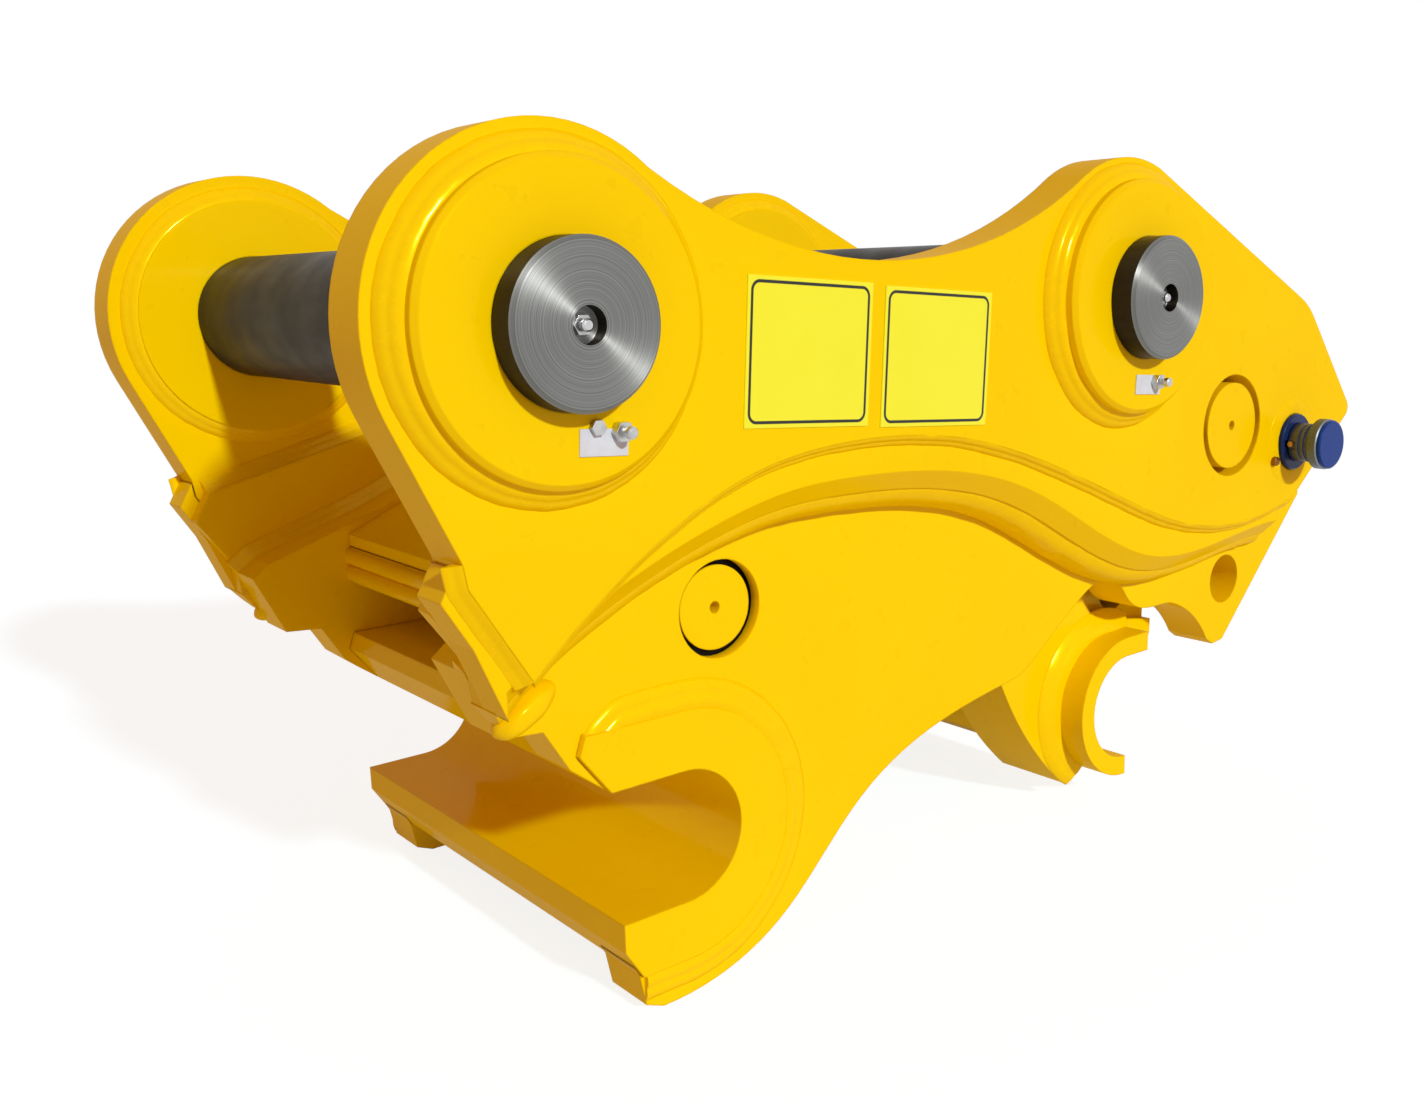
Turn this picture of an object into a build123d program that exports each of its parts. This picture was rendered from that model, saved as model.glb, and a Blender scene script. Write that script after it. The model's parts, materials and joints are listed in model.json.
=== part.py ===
from build123d import *
import math
import os

# Manual quick coupler for an excavator of about twenty tonnes.
# Axes: x runs from the front hook to the rear hook, y across, z up, all in millimetres.
# The origin is the middle of the front stick pin. The left side is the side toward -y.

# Plate layers of one side, from the middle plane outwards
hook_plate_inner = 132.0
hook_plate_thickness = 36.0
packing_thickness = 12.0
cheek_thickness = 25.0
ear_thickness = 32.0
inner_boss_height = 8.0
outer_boss_height = 17.0
hook_plate_outer = hook_plate_inner + hook_plate_thickness
ear_inner = hook_plate_outer + packing_thickness
cheek_outer = ear_inner + cheek_thickness
ear_outer = ear_inner + ear_thickness
inner_boss_face = ear_inner - inner_boss_height
outer_boss_face = ear_outer + outer_boss_height

# Stick pins and their bosses
pin_spacing = 445.0
pin_radius = 40.0
pin_overhang = 17.0
pin_half_length = outer_boss_face + pin_overhang
pin_bevel = 2.0
pin_clearance = 0.1
boss_radius = 77.0
boss_bevel = 3.0
nipple_well_radius = 9.0
nipple_well_depth = 8.0

# Ear plate outline
front_lobe_radius = 93.3
rear_lobe_radius = 91.5
front_lobe_angles = (205, 128, 51)
rear_lobe_angles = (120, 94, 68.5)
valley_low = (232.0, 27.0)
shoulder = (683.5, -12.0)
shoulder_radius = 60.0
tail_point = (757.3, -98.7)
tail_radius = 8.0
ear_corner = (671.0, -166.0)
weld_gap = 0.45
ear_front_edge = [(-20, -170), (-51, -119), (-53, -107)]
ear_lower_edge = [
    (-20, -170), (45, -119), (118, -84), (200, -73), (284, -80),
    (374, -107), (443, -135), (520, -164), (574, -173.5), (666, -165),
]

# Cheek plate outline
cheek_lower_edge = [
    (-31, -177), (23, -141), (92, -112), (159, -96.5), (196, -95), (277, -100),
    (352, -120), (419, -155), (455, -173), (493, -186), (532, -190.5), (591, -187), (663, -182),
]
lug = [(-47, -150), (-62, -125), (-53.5, -109.5)]
cheek_bevel = 12.0

# Packing plate outline above the shared lower edge
packing_top = [
    (714, -150), (714, -112), (655, -50), (545, -50), (505, -86), (385, -86),
    (300, -62), (200, -62), (90, -80), (-46, -116), (-56.5, -135), (-34, -167),
]

# Hook plate outline
hook_plate_top = [
    (-35, -171), (-24, -162.5), (62, -133), (130, -104), (492, -104), (535, -44), (600, -34),
    (662, -44), (722, -100), (757, -140), (760.5, -176),
]
cover_fold = hook_plate_top[3]
hook_plate_rounding = {4: 30.0, 5: 25.0, 7: 30.0, 9: 12.0}
nose_edge = [(-35, -171), (-16, -211), (8, -213), (23, -238), (46, -256)]
lower_nose = [(50, -336), (51, -353), (61, -372), (65, -392), (77, -397)]
belly_edge = [
    (77, -397), (104, -395.5), (135, -388), (167, -372), (201, -343),
    (237, -311), (273, -290.5), (322, -275), (392, -263),
]
cut_back_edge = [
    (392, -263), (430, -238), (460, -218), (483, -208), (503, -211), (517, -227), (532, -237.5),
    (552, -240.5), (574, -241),
]
tail_hollow = [(574, -241), (605, -256), (628, -281)]
tail_tip = [(628, -281), (637, -287), (651, -285.5), (760.5, -176)]
lifting_eye = (650.0, -234.0)
lifting_eye_radius = 20.0

# Front hook
throat_centre = (95.0, -296.0)
throat_radius = 40.0
saddle_thickness = 36.0
saddle_half_width = 172.0
saddle_gap = 0.3
saddle_lip_x = 46.0
saddle_chamfer_x = 27.0
saddle_chamfer_top = 31.0
saddle_chamfer_z = -231.0
saddle_nose_x = 50.0
saddle_nose_slope = 12.0
saddle_nose_step = 17.0

# Cross plates between the two hook plates
cross_gap = 0.3
cross_half_width = hook_plate_inner - cross_gap
cross_plate_thickness = 12.0
front_cross_x = 33.0
front_cross_top = -159.0
front_cross_bottom = -184.0
front_cross_fold = 34.0
cover_thickness = 8.0
cover_front_height = -146.9
cover_rear_x = 230.0
cover_drop = 3.0

belly_plate_thickness = 13.0
belly_plate_line = [(176, -334), (191, -347), (220, -318), (256, -291), (321, -268)]

# Anchor pins and thrust block
anchor = (127.0, -167.0)
anchor_radius = 25.0
anchor_fit = 0.1
anchor_inner = 70.0
anchor_recess = 5.0
anchor_counterbore_radius = 29.0
anchor_counterbore_depth = 10.0
anchor_seat_play = 1.0
centre_hole_radius = 3.5
centre_hole_depth = 12.0
block_half_height = 33.0
block_front = -30.0
block_rear = 44.0
block_half_width = 130.0
block_bevel = 5.0

# Spindle, its bearings and its nut
spindle_tilt = 8.0
spindle_radius = 20.0
spindle_fit = 0.1
bush_radius = 25.0
bush_fit = 0.05
pocket_radius = 28.0
washer_thickness = 4.0
collar_radius = 27.0
collar_thickness = 14.0
collar_play = 0.3
cap_flange_height = 64.0
cap_flange_width = 96.0
cap_flange_thickness = 11.0
cap_corner_radius = 12.0
cap_screw_spacing = 74.0
cap_screw_rows = 44.0
cap_screw_radius = 6.5
cap_screw_height = 8.0
cap_screw_socket = 6.0
spindle_length = 522.0
spindle_nose = 4.0
spindle_cap_play = 0.4
drive_flats = 32.0
drive_length = 40.0
nut_radius = 30.0
nut_half_width = 67.0
nut_bevel = 2.0
trunnion_radius = 18.0
trunnion_end = 104.0
trunnion_play = 0.6
slot_end_play = 1.5

# Pivot of the rear hook
pivot = (581.0, -98.0)
pivot_radius = 32.0
pivot_fit = 0.06
pivot_end = ear_outer - 0.5
pivot_window_radius = 38.0
pivot_bush_radius = 39.0
pivot_bush_fit = 0.02
spacer_tube_radius = 44.0
spacer_tube_play = 1.0
arm_boss_radius = 56.0

# Rear hook
arm_inner = 70.0
arm_outer = 130.0
ring_centre = (534.0, -320.0)
ring_inner_radius = 41.0
ring_outer_radius = 56.0
ring_half_width = 158.5
ring_lip_x = 560.0
arm_front_edge = [(417, -284), (441, -325), (490, -380)]
arm_front_hollow = (440, -238)
arm_front_hollow_radius = 40.0
arm_rear_edge = [(576, -287), (603, -283), (603, -256)]
arm_rear_rounding = (8.0, 60.0)
arm_relief_edge = [
    (640, -272), (603, -266), (564, -260), (535, -254.5), (522, -246), (511, -232), (506, -216),
    (520, -200), (600, -200), (640, -225),
]
arm_relief_depth = 8.0
arm_boss_angles = (-8.0, 90.0, 196.0)
arm_toe = (504.0, -380.0)
web_thickness = 15.0
web_angles = (150.0, 204.0)
hook_closed_angle = 13.0
hook_open_angle = -15.0

# Lock pin, drawn out in the modelled position, and the guide bush it slides in
lock_centre = (667.0, -118.0)
lock_travel = 16.0
lock_tip_radius = 7.0
lock_tip_bevel = 2.0
lock_tip_start = hook_plate_inner + 1.0
lock_hole_radius = 7.6
lock_hole_depth = 17.0
lock_shaft_radius = 9.5
lock_shoulder_radius = 13.5
lock_shoulder_thickness = 3.5
lock_end_play = 1.0
lock_hub_radius = 15.0
lock_hub_lift = 0.6
lock_hub_length = 16.9
lock_groove_radius = 13.0
lock_groove_width = 2.2
lock_groove_places = (7.4, 11.9)
lock_bush_radius = 19.0
lock_bush_floor = 2.5
lock_bush_fit = 0.05
lock_slide_fit = 0.1
lock_flange_radius = 22.0
lock_flange_thickness = 5.0
lock_flange_bevel = 1.0
lock_ring_width = 10.5
lock_ring_radius = 19.5
lock_ring_bevel = 1.0
lock_cap_radius = 18.8
lock_cap_depth = 2.0
lock_cap_rise = 1.0
lock_cross_pin_radius = 2.2
lock_cross_pin_half_length = 17.5
lock_cross_pin_lift = 3.5
lock_slot_play = 0.5
press_fit = 0.02
lock_shoulder_start = hook_plate_outer + lock_travel + lock_end_play
lock_shoulder_end = lock_shoulder_start + lock_shoulder_thickness
lock_flange_face = ear_outer + lock_flange_thickness
lock_hub_start = lock_flange_face + lock_hub_lift
lock_hub_end = lock_hub_start + lock_hub_length
lock_bush_bottom = lock_hub_start - lock_travel - lock_end_play
lock_bush_end = lock_bush_bottom - lock_bush_floor
lock_ring_end = lock_hub_end + lock_ring_width
lock_cap_face = lock_ring_end + lock_cap_rise
lock_cross_pin_place = lock_flange_face + lock_cross_pin_lift
spring_wire_radius = 1.0
spring_end_gap = 0.3
spring_radius = 11.6
spring_turns = 3
spring_sides = 12
sector_radius = 106.0
sector_margin = 12.0
sector_thickness = 35.0

# Tags, nipples and label plates on the left side
label_corner_front = (118.0, 21.0)
label_corner_rear = (218.0, 13.0)
label_width = 90.0
label_height = 80.0
label_thickness = 1.0
label_tilt = -4.0
tag_width = 27.0
tag_height = 13.0
tag_thickness = 0.8
tag_front = (15.0, -55.5)
tag_rear = (447.0, -57.5)
nipple_front = (24.0, -51.0)
nipple_rear = (455.0, -56.0)
plug_front = (11.0, -48.0)
nipple_hex = 9.0
nipple_head_radius = 3.06
nipple_neck_radius = 2.0
nipple_head_bevel = 0.9
nipple_foot_share = 0.4
nipple_neck_share = 0.7
nipple_head_share = 0.6
nipple_length = 12.0
nipple_sink = 1.0
plug_hex = 7.0
plug_height = 2.7


def point_on(centre, radius, degrees):
    """Point of a circle in the side view."""
    angle = math.radians(degrees)
    return (centre[0] + radius * math.cos(angle), centre[1] + radius * math.sin(angle))


def slab(face, inner, outer):
    """Side view face made into a plate on the left side."""
    return extrude(Plane.XZ.offset(inner) * face, amount=outer - inner)


def disc(centre, radius, inner, outer):
    """Round bar across the coupler, on the left side."""
    return slab(Pos(centre[0], centre[1]) * Circle(radius), inner, outer)


def cross_bar(centre, radius, half_length):
    """Round bar that reaches equally far to both sides."""
    return disc(centre, radius, -half_length, half_length)


def along_spindle(start, end, face):
    """Side view of the spindle axis: a face pushed from start to end along it."""
    direction = spindle_direction()
    plane = Plane(origin=(anchor[0], 0, anchor[1]), x_dir=(0, 1, 0), z_dir=direction)
    return extrude(plane.offset(start) * face, amount=end - start)


def spindle_direction():
    """Direction of the spindle, pointing to its rear end."""
    tilt = math.radians(spindle_tilt)
    return (math.cos(tilt), 0, -math.sin(tilt))


def nut_distance():
    """Distance along the spindle from the anchor to the point nearest the pivot."""
    direction = spindle_direction()
    return (pivot[0] - anchor[0]) * direction[0] + (pivot[1] - anchor[1]) * direction[2]


def nut_centre():
    """Side view centre of the nut with the hook in its middle position."""
    direction = spindle_direction()
    reach = nut_distance()
    return (anchor[0] + reach * direction[0], anchor[1] + reach * direction[2])


def both_sides(name, shape, pieces):
    """Store a left piece and its mirror image."""
    pieces[name + "_left"] = shape
    pieces[name + "_right"] = mirror(shape, about=Plane.XZ)


def ear_face():
    """Side view of the ear plate with its two lobes and the dip between them."""
    rear = (pin_spacing, 0.0)
    front_low, front_top, front_high = (point_on((0, 0), front_lobe_radius, angle) for angle in front_lobe_angles)
    rear_high, rear_top, rear_low = (point_on(rear, rear_lobe_radius, angle) for angle in rear_lobe_angles)
    edge = ThreePointArc(front_low, front_top, front_high)
    edge += ThreePointArc(front_high, valley_low, rear_high)
    edge += ThreePointArc(rear_high, rear_top, rear_low)
    edge += Line(rear_low, shoulder)
    edge += Line(shoulder, tail_point)
    edge += Line(tail_point, ear_corner)
    edge += Line(ear_corner, ear_lower_edge[-1])
    edge += Spline(*reversed(ear_lower_edge))
    edge += Polyline(*ear_front_edge, front_low)
    face = make_face(edge)
    face = fillet(face.vertices().sort_by_distance((*shoulder, 0))[0], shoulder_radius)
    return fillet(face.vertices().sort_by_distance((*tail_point, 0))[0], tail_radius)


def ear_plate():
    """Outer plate that carries both stick pins."""
    plate = slab(ear_face(), ear_inner, ear_outer)
    for centre in ((0, 0), (pin_spacing, 0)):
        plate -= disc(centre, pin_radius + pin_clearance, ear_inner, ear_outer)
    return plate - disc(pivot, pivot_window_radius, ear_inner, ear_outer)


def dropped(points, amount):
    """Curve points moved down."""
    return [(x, z - amount) for x, z in points]


def above_ear_edge():
    """Area above the lower edge of the ear plate, which the cheek plate leaves free."""
    upper = dropped(ear_lower_edge, weld_gap)
    edge = Spline(*upper)
    lug_side = [(x - 2 * weld_gap, z) for x, z in ear_front_edge[1:]]
    beyond = tail_point[0]
    edge += Polyline(upper[-1], (beyond, upper[-1][1]), (beyond, 0), (lug_side[1][0], 0))
    edge += Polyline((lug_side[1][0], 0), lug_side[1], lug_side[0], upper[0])
    return make_face(edge)


def cheek_plate():
    """Band plate welded to the ear plate, bevelled along its lower edge for the weld."""
    lower = dropped(cheek_lower_edge, cheek_bevel)
    edge = Spline(*lower)
    edge += Polyline(lower[-1], (lower[-1][0], -20), (lower[0][0], -20), lower[0])
    band = slab(make_face(edge), ear_inner, cheek_outer)
    curved = band.edges().filter_by(GeomType.BSPLINE).sort_by(Axis.Y)[0]
    band = chamfer(curved, cheek_bevel)
    lug_face = make_face(Polyline(lower[0], *lug, (lower[0][0], lug[-1][1]), close=True))
    plate = band + slab(lug_face, ear_inner, cheek_outer)
    return plate - slab(above_ear_edge(), ear_inner, cheek_outer)


def packing_plate():
    """Spacer plate between the ear and cheek plates and the hook plate."""
    lower = dropped(cheek_lower_edge, cheek_bevel)
    edge = Spline(*lower)
    edge += Polyline(lower[-1], *packing_top, lower[0])
    plate = slab(make_face(edge), hook_plate_outer, ear_inner)
    return plate - disc(pivot, pivot_window_radius, hook_plate_outer, ear_inner)


def saddle_face(gap):
    """C-shaped section of the front hook saddle, grown by gap."""
    outer = throat_radius + saddle_thickness + gap
    inner = throat_radius
    x, z = throat_centre
    tip_z = saddle_chamfer_z
    edge = Polyline(
        (x, z + inner), (saddle_lip_x, z + inner), (saddle_chamfer_x - gap, tip_z),
        (saddle_chamfer_top - gap, z + outer), (x, z + outer),
    )
    edge += ThreePointArc((x, z + outer), (x + outer, z), (x, z - outer))
    nose = saddle_nose_x
    edge += Polyline((x, z - outer), (nose + saddle_nose_slope - gap, z - outer))
    edge += Polyline(
        (nose + saddle_nose_slope - gap, z - outer), (nose, z - inner - saddle_nose_step),
        (nose, z - inner), (x, z - inner),
    )
    edge += ThreePointArc((x, z - inner), (x + inner, z), (x, z + inner))
    return make_face(edge)


def hook_plate_face():
    """Side view of the hook plate before the saddle is let in."""
    x, z = throat_centre
    edge = Polyline(*nose_edge, (x, z + throat_radius))
    edge += ThreePointArc((x, z + throat_radius), (x + throat_radius, z), (x, z - throat_radius))
    edge += Polyline((x, z - throat_radius), *lower_nose)
    edge += Spline(*belly_edge)
    edge += Spline(*cut_back_edge)
    edge += ThreePointArc(*tail_hollow)
    edge += Polyline(*tail_tip)
    edge += Polyline(*reversed(hook_plate_top))
    face = make_face(edge)
    for place, radius in hook_plate_rounding.items():
        corner = hook_plate_top[place]
        face = fillet(face.vertices().sort_by_distance((*corner, 0))[0], radius)
    return face


def hook_plate():
    """Main side plate with the front hook, the cut-back and the lifting tail."""
    inner = hook_plate_inner
    outer = hook_plate_outer
    plate = slab(hook_plate_face(), inner, outer)
    plate -= slab(saddle_face(saddle_gap), inner, outer)
    plate -= disc(anchor, anchor_radius + anchor_fit, inner, outer)
    plate -= disc(anchor, anchor_counterbore_radius, outer - anchor_counterbore_depth, outer)
    plate -= disc(pivot, pivot_radius + pivot_fit, inner, outer)
    return plate - disc(lifting_eye, lifting_eye_radius, inner, outer)


def outer_boss(centre):
    """Raised disc round a stick pin on the outside of the ear plate."""
    boss = disc(centre, boss_radius, ear_outer, outer_boss_face)
    rim = boss.edges().filter_by(GeomType.CIRCLE).sort_by(Axis.Y)[0]
    boss = chamfer(rim, boss_bevel)
    return boss - disc(centre, pin_radius + pin_clearance, ear_outer, outer_boss_face)


def inner_boss(centre):
    """Flat disc round a stick pin on the inside of the ear plate."""
    boss = disc(centre, boss_radius, inner_boss_face, ear_inner)
    return boss - disc(centre, pin_radius + pin_clearance, inner_boss_face, ear_inner)


def stick_pin(centre):
    """Long pin with bevelled ends and a well for its grease nipple in the left end."""
    pin = cross_bar(centre, pin_radius, pin_half_length)
    pin = chamfer(pin.edges().filter_by(GeomType.CIRCLE), pin_bevel)
    return pin - disc(centre, nipple_well_radius, pin_half_length - nipple_well_depth, pin_half_length)


def grease_nipple(centre, base, length):
    """Hexagon foot, neck and rounded head, standing on the plane at base."""
    hexagon = Pos(*centre) * RegularPolygon(nipple_hex / 2, 6, major_radius=False)
    foot = slab(hexagon, base, base + nipple_foot_share * length)
    neck = disc(centre, nipple_neck_radius, base, base + nipple_neck_share * length)
    head = disc(centre, nipple_head_radius, base + nipple_head_share * length, base + length)
    head = chamfer(head.edges().filter_by(GeomType.CIRCLE), nipple_head_bevel)
    return foot + neck + head


def front_hook_saddle():
    """Full-width half-round seat of the front hook."""
    return slab(saddle_face(0), -saddle_half_width, saddle_half_width)


def front_cross_plate():
    """Upright plate across the front, folded back at its lower edge."""
    x = front_cross_x
    t = cross_plate_thickness
    edge = Polyline(
        (x, front_cross_top), (x + t, front_cross_top), (x + t, front_cross_bottom + t),
        (x + front_cross_fold, front_cross_bottom + t), (x + front_cross_fold, front_cross_bottom),
        (x, front_cross_bottom), close=True,
    )
    return slab(make_face(edge), -cross_half_width, cross_half_width)


def top_cover_plate():
    """Folded cover over the spindle end, just below the top edge of the hook plates."""
    start = (front_cross_x, cover_front_height - cover_drop)
    fold = (cover_fold[0], cover_fold[1] - cover_drop)
    end = (cover_rear_x, fold[1])
    lower = dropped([start, fold, end], cover_thickness)
    edge = Polyline(start, fold, end, *reversed(lower), close=True)
    return slab(make_face(edge), -cross_half_width, cross_half_width)


def belly_plate():
    """Closing plate between the hook plates behind the front hook."""
    outer = belly_plate_line
    edge = Polyline(*outer, *reversed(dropped(outer, -belly_plate_thickness)), close=True)
    return slab(make_face(edge), -cross_half_width, cross_half_width)


def anchor_pin():
    """Stub pin that holds the thrust block in one hook plate."""
    outer = hook_plate_outer - anchor_recess
    pin = disc(anchor, anchor_radius, anchor_inner, outer)
    return pin - disc(anchor, centre_hole_radius, outer - centre_hole_depth, outer)


def thrust_block():
    """Block on the anchor pins that takes the push and pull of the spindle."""
    section = Rectangle(2 * block_half_width, 2 * block_half_height)
    block = along_spindle(block_front, block_rear, section)
    block = chamfer(block.edges().filter_by(Axis.Y), block_bevel)
    block -= along_spindle(block_front, 0, Circle(bush_radius))
    block -= along_spindle(0, block_rear, Circle(pocket_radius))
    for side in (-1, 1):
        edges = sorted((side * (anchor_inner - anchor_seat_play), side * block_half_width))
        block -= disc(anchor, anchor_radius + anchor_fit, edges[0], edges[1])
    return block


def ring(outer, inner):
    """Flat ring face."""
    return Circle(outer) - Circle(inner)


def spindle_bush():
    """Bronze bush between the spindle and the thrust block."""
    section = ring(bush_radius - bush_fit, spindle_radius + spindle_fit)
    return along_spindle(block_front, 0, section)


def collar_place():
    """Start and end of the spindle collar along the spindle axis."""
    start = washer_thickness + collar_play
    return (start, start + collar_thickness)


def thrust_washer(start):
    """Bronze washer on one side of the spindle collar."""
    return along_spindle(start, start + washer_thickness, ring(collar_radius, spindle_radius + spindle_fit))


def spindle():
    """Screw spindle with its thrust collar and the hexagon for a spanner at the rear."""
    collar = collar_place()
    body = along_spindle(block_front - spindle_nose, spindle_length, Circle(spindle_radius))
    body += along_spindle(collar[0], collar[1], Circle(collar_radius))
    hexagon = RegularPolygon(drive_flats / 2, 6, major_radius=False)
    body += along_spindle(spindle_length, spindle_length + drive_length, hexagon)
    return body


def bearing_cap():
    """Flanged cap that closes the collar pocket of the thrust block."""
    start = collar_place()[1] + collar_play + washer_thickness
    flange = Rectangle(cap_flange_width, cap_flange_height)
    flange = fillet(flange.vertices(), cap_corner_radius)
    cap = along_spindle(start, block_rear, Circle(pocket_radius - bush_fit))
    cap += along_spindle(block_rear, block_rear + cap_flange_thickness, flange)
    bore = Circle(spindle_radius + spindle_cap_play)
    return cap - along_spindle(start, block_rear + cap_flange_thickness, bore)


def bearing_cap_screws():
    """Four socket screws on the flange of the bearing cap."""
    start = block_rear + cap_flange_thickness
    heads = []
    for y in (-cap_screw_spacing / 2, cap_screw_spacing / 2):
        for z in (-cap_screw_rows / 2, cap_screw_rows / 2):
            top = start + cap_screw_height
            head = along_spindle(start, top, Pos(y, z) * Circle(cap_screw_radius))
            socket = Pos(y, z) * RegularPolygon(cap_screw_socket / 2, 6, major_radius=False)
            heads.append(head - along_spindle(start + cap_screw_height / 2, top, socket))
    return Compound(heads)


def trunnion_nut():
    """Round nut across the hook with a journal at each end."""
    centre = nut_centre()
    nut = cross_bar(centre, nut_radius, nut_half_width)
    nut = chamfer(nut.edges().filter_by(GeomType.CIRCLE), nut_bevel)
    nut += cross_bar(centre, trunnion_radius, trunnion_end)
    reach = nut_distance()
    bore = along_spindle(reach - 2 * nut_radius, reach + 2 * nut_radius, Circle(spindle_radius + spindle_fit))
    return nut - bore


def trunnion_slot():
    """Slot in a hook arm, pointing to the pivot, in which the nut journal slides."""
    reach = math.dist(nut_centre(), pivot)
    half_width = trunnion_radius + trunnion_play
    swing = math.radians(max(abs(hook_open_angle), abs(hook_closed_angle)))
    near = reach - slot_end_play
    far = reach / math.cos(swing) + slot_end_play
    slot = Pos(0, -(near + far) / 2) * Rectangle(2 * half_width, far - near)
    slot += Pos(0, -near) * Circle(half_width)
    slot += Pos(0, -far) * Circle(half_width)
    turn = math.degrees(math.atan2(nut_centre()[0] - pivot[0], pivot[1] - nut_centre()[1]))
    return slab(Pos(*pivot) * Rot(0, 0, turn) * slot, arm_inner, arm_outer)


def arm_face():
    """Side view of one arm of the rear hook."""
    right, top, left = (point_on(pivot, arm_boss_radius, angle) for angle in arm_boss_angles)
    edge = ThreePointArc(left, top, right)
    edge += Polyline(right, arm_rear_edge[2], arm_rear_edge[1], arm_rear_edge[0])
    edge += Polyline(arm_rear_edge[0], ring_centre, arm_toe, arm_front_edge[2])
    edge += ThreePointArc(arm_front_edge[2], arm_front_edge[1], arm_front_edge[0])
    edge += Polyline(arm_front_edge[0], arm_front_hollow, left)
    face = make_face(edge)
    roundings = (
        (arm_front_hollow, arm_front_hollow_radius), (arm_rear_edge[1], arm_rear_rounding[0]),
        (arm_rear_edge[2], arm_rear_rounding[1]),
    )
    for corner, radius in roundings:
        face = fillet(face.vertices().sort_by_distance((*corner, 0))[0], radius)
    return face


def hook_arm():
    """Thick arm from the pivot to the half-round seat of the rear hook."""
    arm = slab(arm_face(), arm_inner, arm_outer)
    arm -= disc(ring_centre, ring_outer_radius + cross_gap, arm_inner, arm_outer)
    arm -= slab(ring_face(cross_gap), arm_inner, arm_outer)
    arm -= disc(pivot, pivot_bush_radius, arm_inner, arm_outer)
    relief = make_face(Polyline(*arm_relief_edge, close=True))
    arm -= slab(relief, arm_outer - arm_relief_depth, arm_outer)
    return arm - trunnion_slot()


def hook_arm_with_sector():
    """Left arm, with the lobe that takes the tip of the lock pin in three positions."""
    reach = math.dist(lock_centre, pivot)
    start = math.degrees(math.atan2(lock_centre[1] - pivot[1], lock_centre[0] - pivot[0]))
    low = start - hook_closed_angle - sector_margin
    high = start - hook_open_angle + sector_margin
    edge = Line(pivot, point_on(pivot, sector_radius, low))
    edge += ThreePointArc(
        point_on(pivot, sector_radius, low), point_on(pivot, sector_radius, (low + high) / 2),
        point_on(pivot, sector_radius, high),
    )
    edge += Line(point_on(pivot, sector_radius, high), pivot)
    lobe = slab(make_face(edge), arm_outer - sector_thickness, arm_outer)
    arm = hook_arm() + (lobe - disc(pivot, pivot_bush_radius, arm_inner, arm_outer))
    for angle in (hook_open_angle, 0, hook_closed_angle):
        hole = point_on(pivot, reach, start - angle)
        arm -= disc(hole, lock_hole_radius, arm_outer - lock_hole_depth, arm_outer)
    return arm


def ring_face(gap):
    """Section of the rear half-round seat with its straight upper lip, grown outwards by gap."""
    x, z = ring_centre
    inner = ring_inner_radius
    outer = ring_outer_radius + gap
    lip = ring_lip_x + gap
    edge = Line((lip, z + inner), (x, z + inner))
    edge += ThreePointArc((x, z + inner), (x - inner, z), (x, z - inner))
    edge += Line((x, z - inner), (x, z - outer))
    edge += ThreePointArc((x, z - outer), (x - outer, z), (x, z + outer))
    edge += Polyline((x, z + outer), (lip, z + outer), (lip, z + inner))
    return make_face(edge)


def hook_saddle():
    """Half-round seat of the rear hook, let through both arms."""
    return slab(ring_face(0), -ring_half_width, ring_half_width)


def hook_web():
    """Web between the arms behind the half-round seat."""
    inner = ring_outer_radius + cross_gap
    outer = inner + web_thickness
    start, end = web_angles
    middle = (start + end) / 2
    edge = ThreePointArc(*[point_on(ring_centre, inner, a) for a in (start, middle, end)])
    edge += Line(point_on(ring_centre, inner, end), point_on(ring_centre, outer, end))
    edge += ThreePointArc(*[point_on(ring_centre, outer, a) for a in (end, middle, start)])
    edge += Line(point_on(ring_centre, outer, start), point_on(ring_centre, inner, start))
    half_width = arm_inner - cross_gap
    return slab(make_face(edge), -half_width, half_width)


def pivot_pin():
    """Pin of the rear hook with a small centre hole in each end."""
    pin = cross_bar(pivot, pivot_radius, pivot_end)
    for side in (-1, 1):
        edges = sorted((side * (pivot_end - centre_hole_depth), side * pivot_end))
        pin -= disc(pivot, centre_hole_radius, edges[0], edges[1])
    return pin


def pivot_bush():
    """Bush in one hook arm."""
    bush = disc(pivot, pivot_bush_radius - pivot_bush_fit, arm_inner, arm_outer)
    return bush - disc(pivot, pivot_radius + pivot_fit, arm_inner, arm_outer)


def pivot_spacer_tube():
    """Tube round the pivot pin that keeps the two arms apart."""
    half = arm_inner - cross_gap
    tube = cross_bar(pivot, spacer_tube_radius, half)
    return tube - cross_bar(pivot, pivot_radius + spacer_tube_play, half)


def lock_flange():
    """Blue guide bush let into the ear plate, with a flange and the slot for the cross pin."""
    flange = disc(lock_centre, lock_flange_radius, ear_outer, lock_flange_face)
    rim = flange.edges().filter_by(GeomType.CIRCLE).sort_by(Axis.Y)[0]
    flange = chamfer(rim, lock_flange_bevel)
    flange += disc(lock_centre, lock_bush_radius, lock_bush_end, ear_outer)
    flange -= disc(lock_centre, lock_hub_radius + lock_slide_fit, lock_bush_bottom, lock_flange_face)
    flange -= disc(lock_centre, lock_shaft_radius + lock_slide_fit, lock_bush_end, lock_bush_bottom)
    length = 2 * (lock_cross_pin_half_length + lock_slot_play)
    slot = Rectangle(length, 2 * (lock_cross_pin_radius + lock_slot_play))
    return flange - slab(Pos(*lock_centre) * slot, lock_bush_bottom, lock_flange_face)


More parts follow.
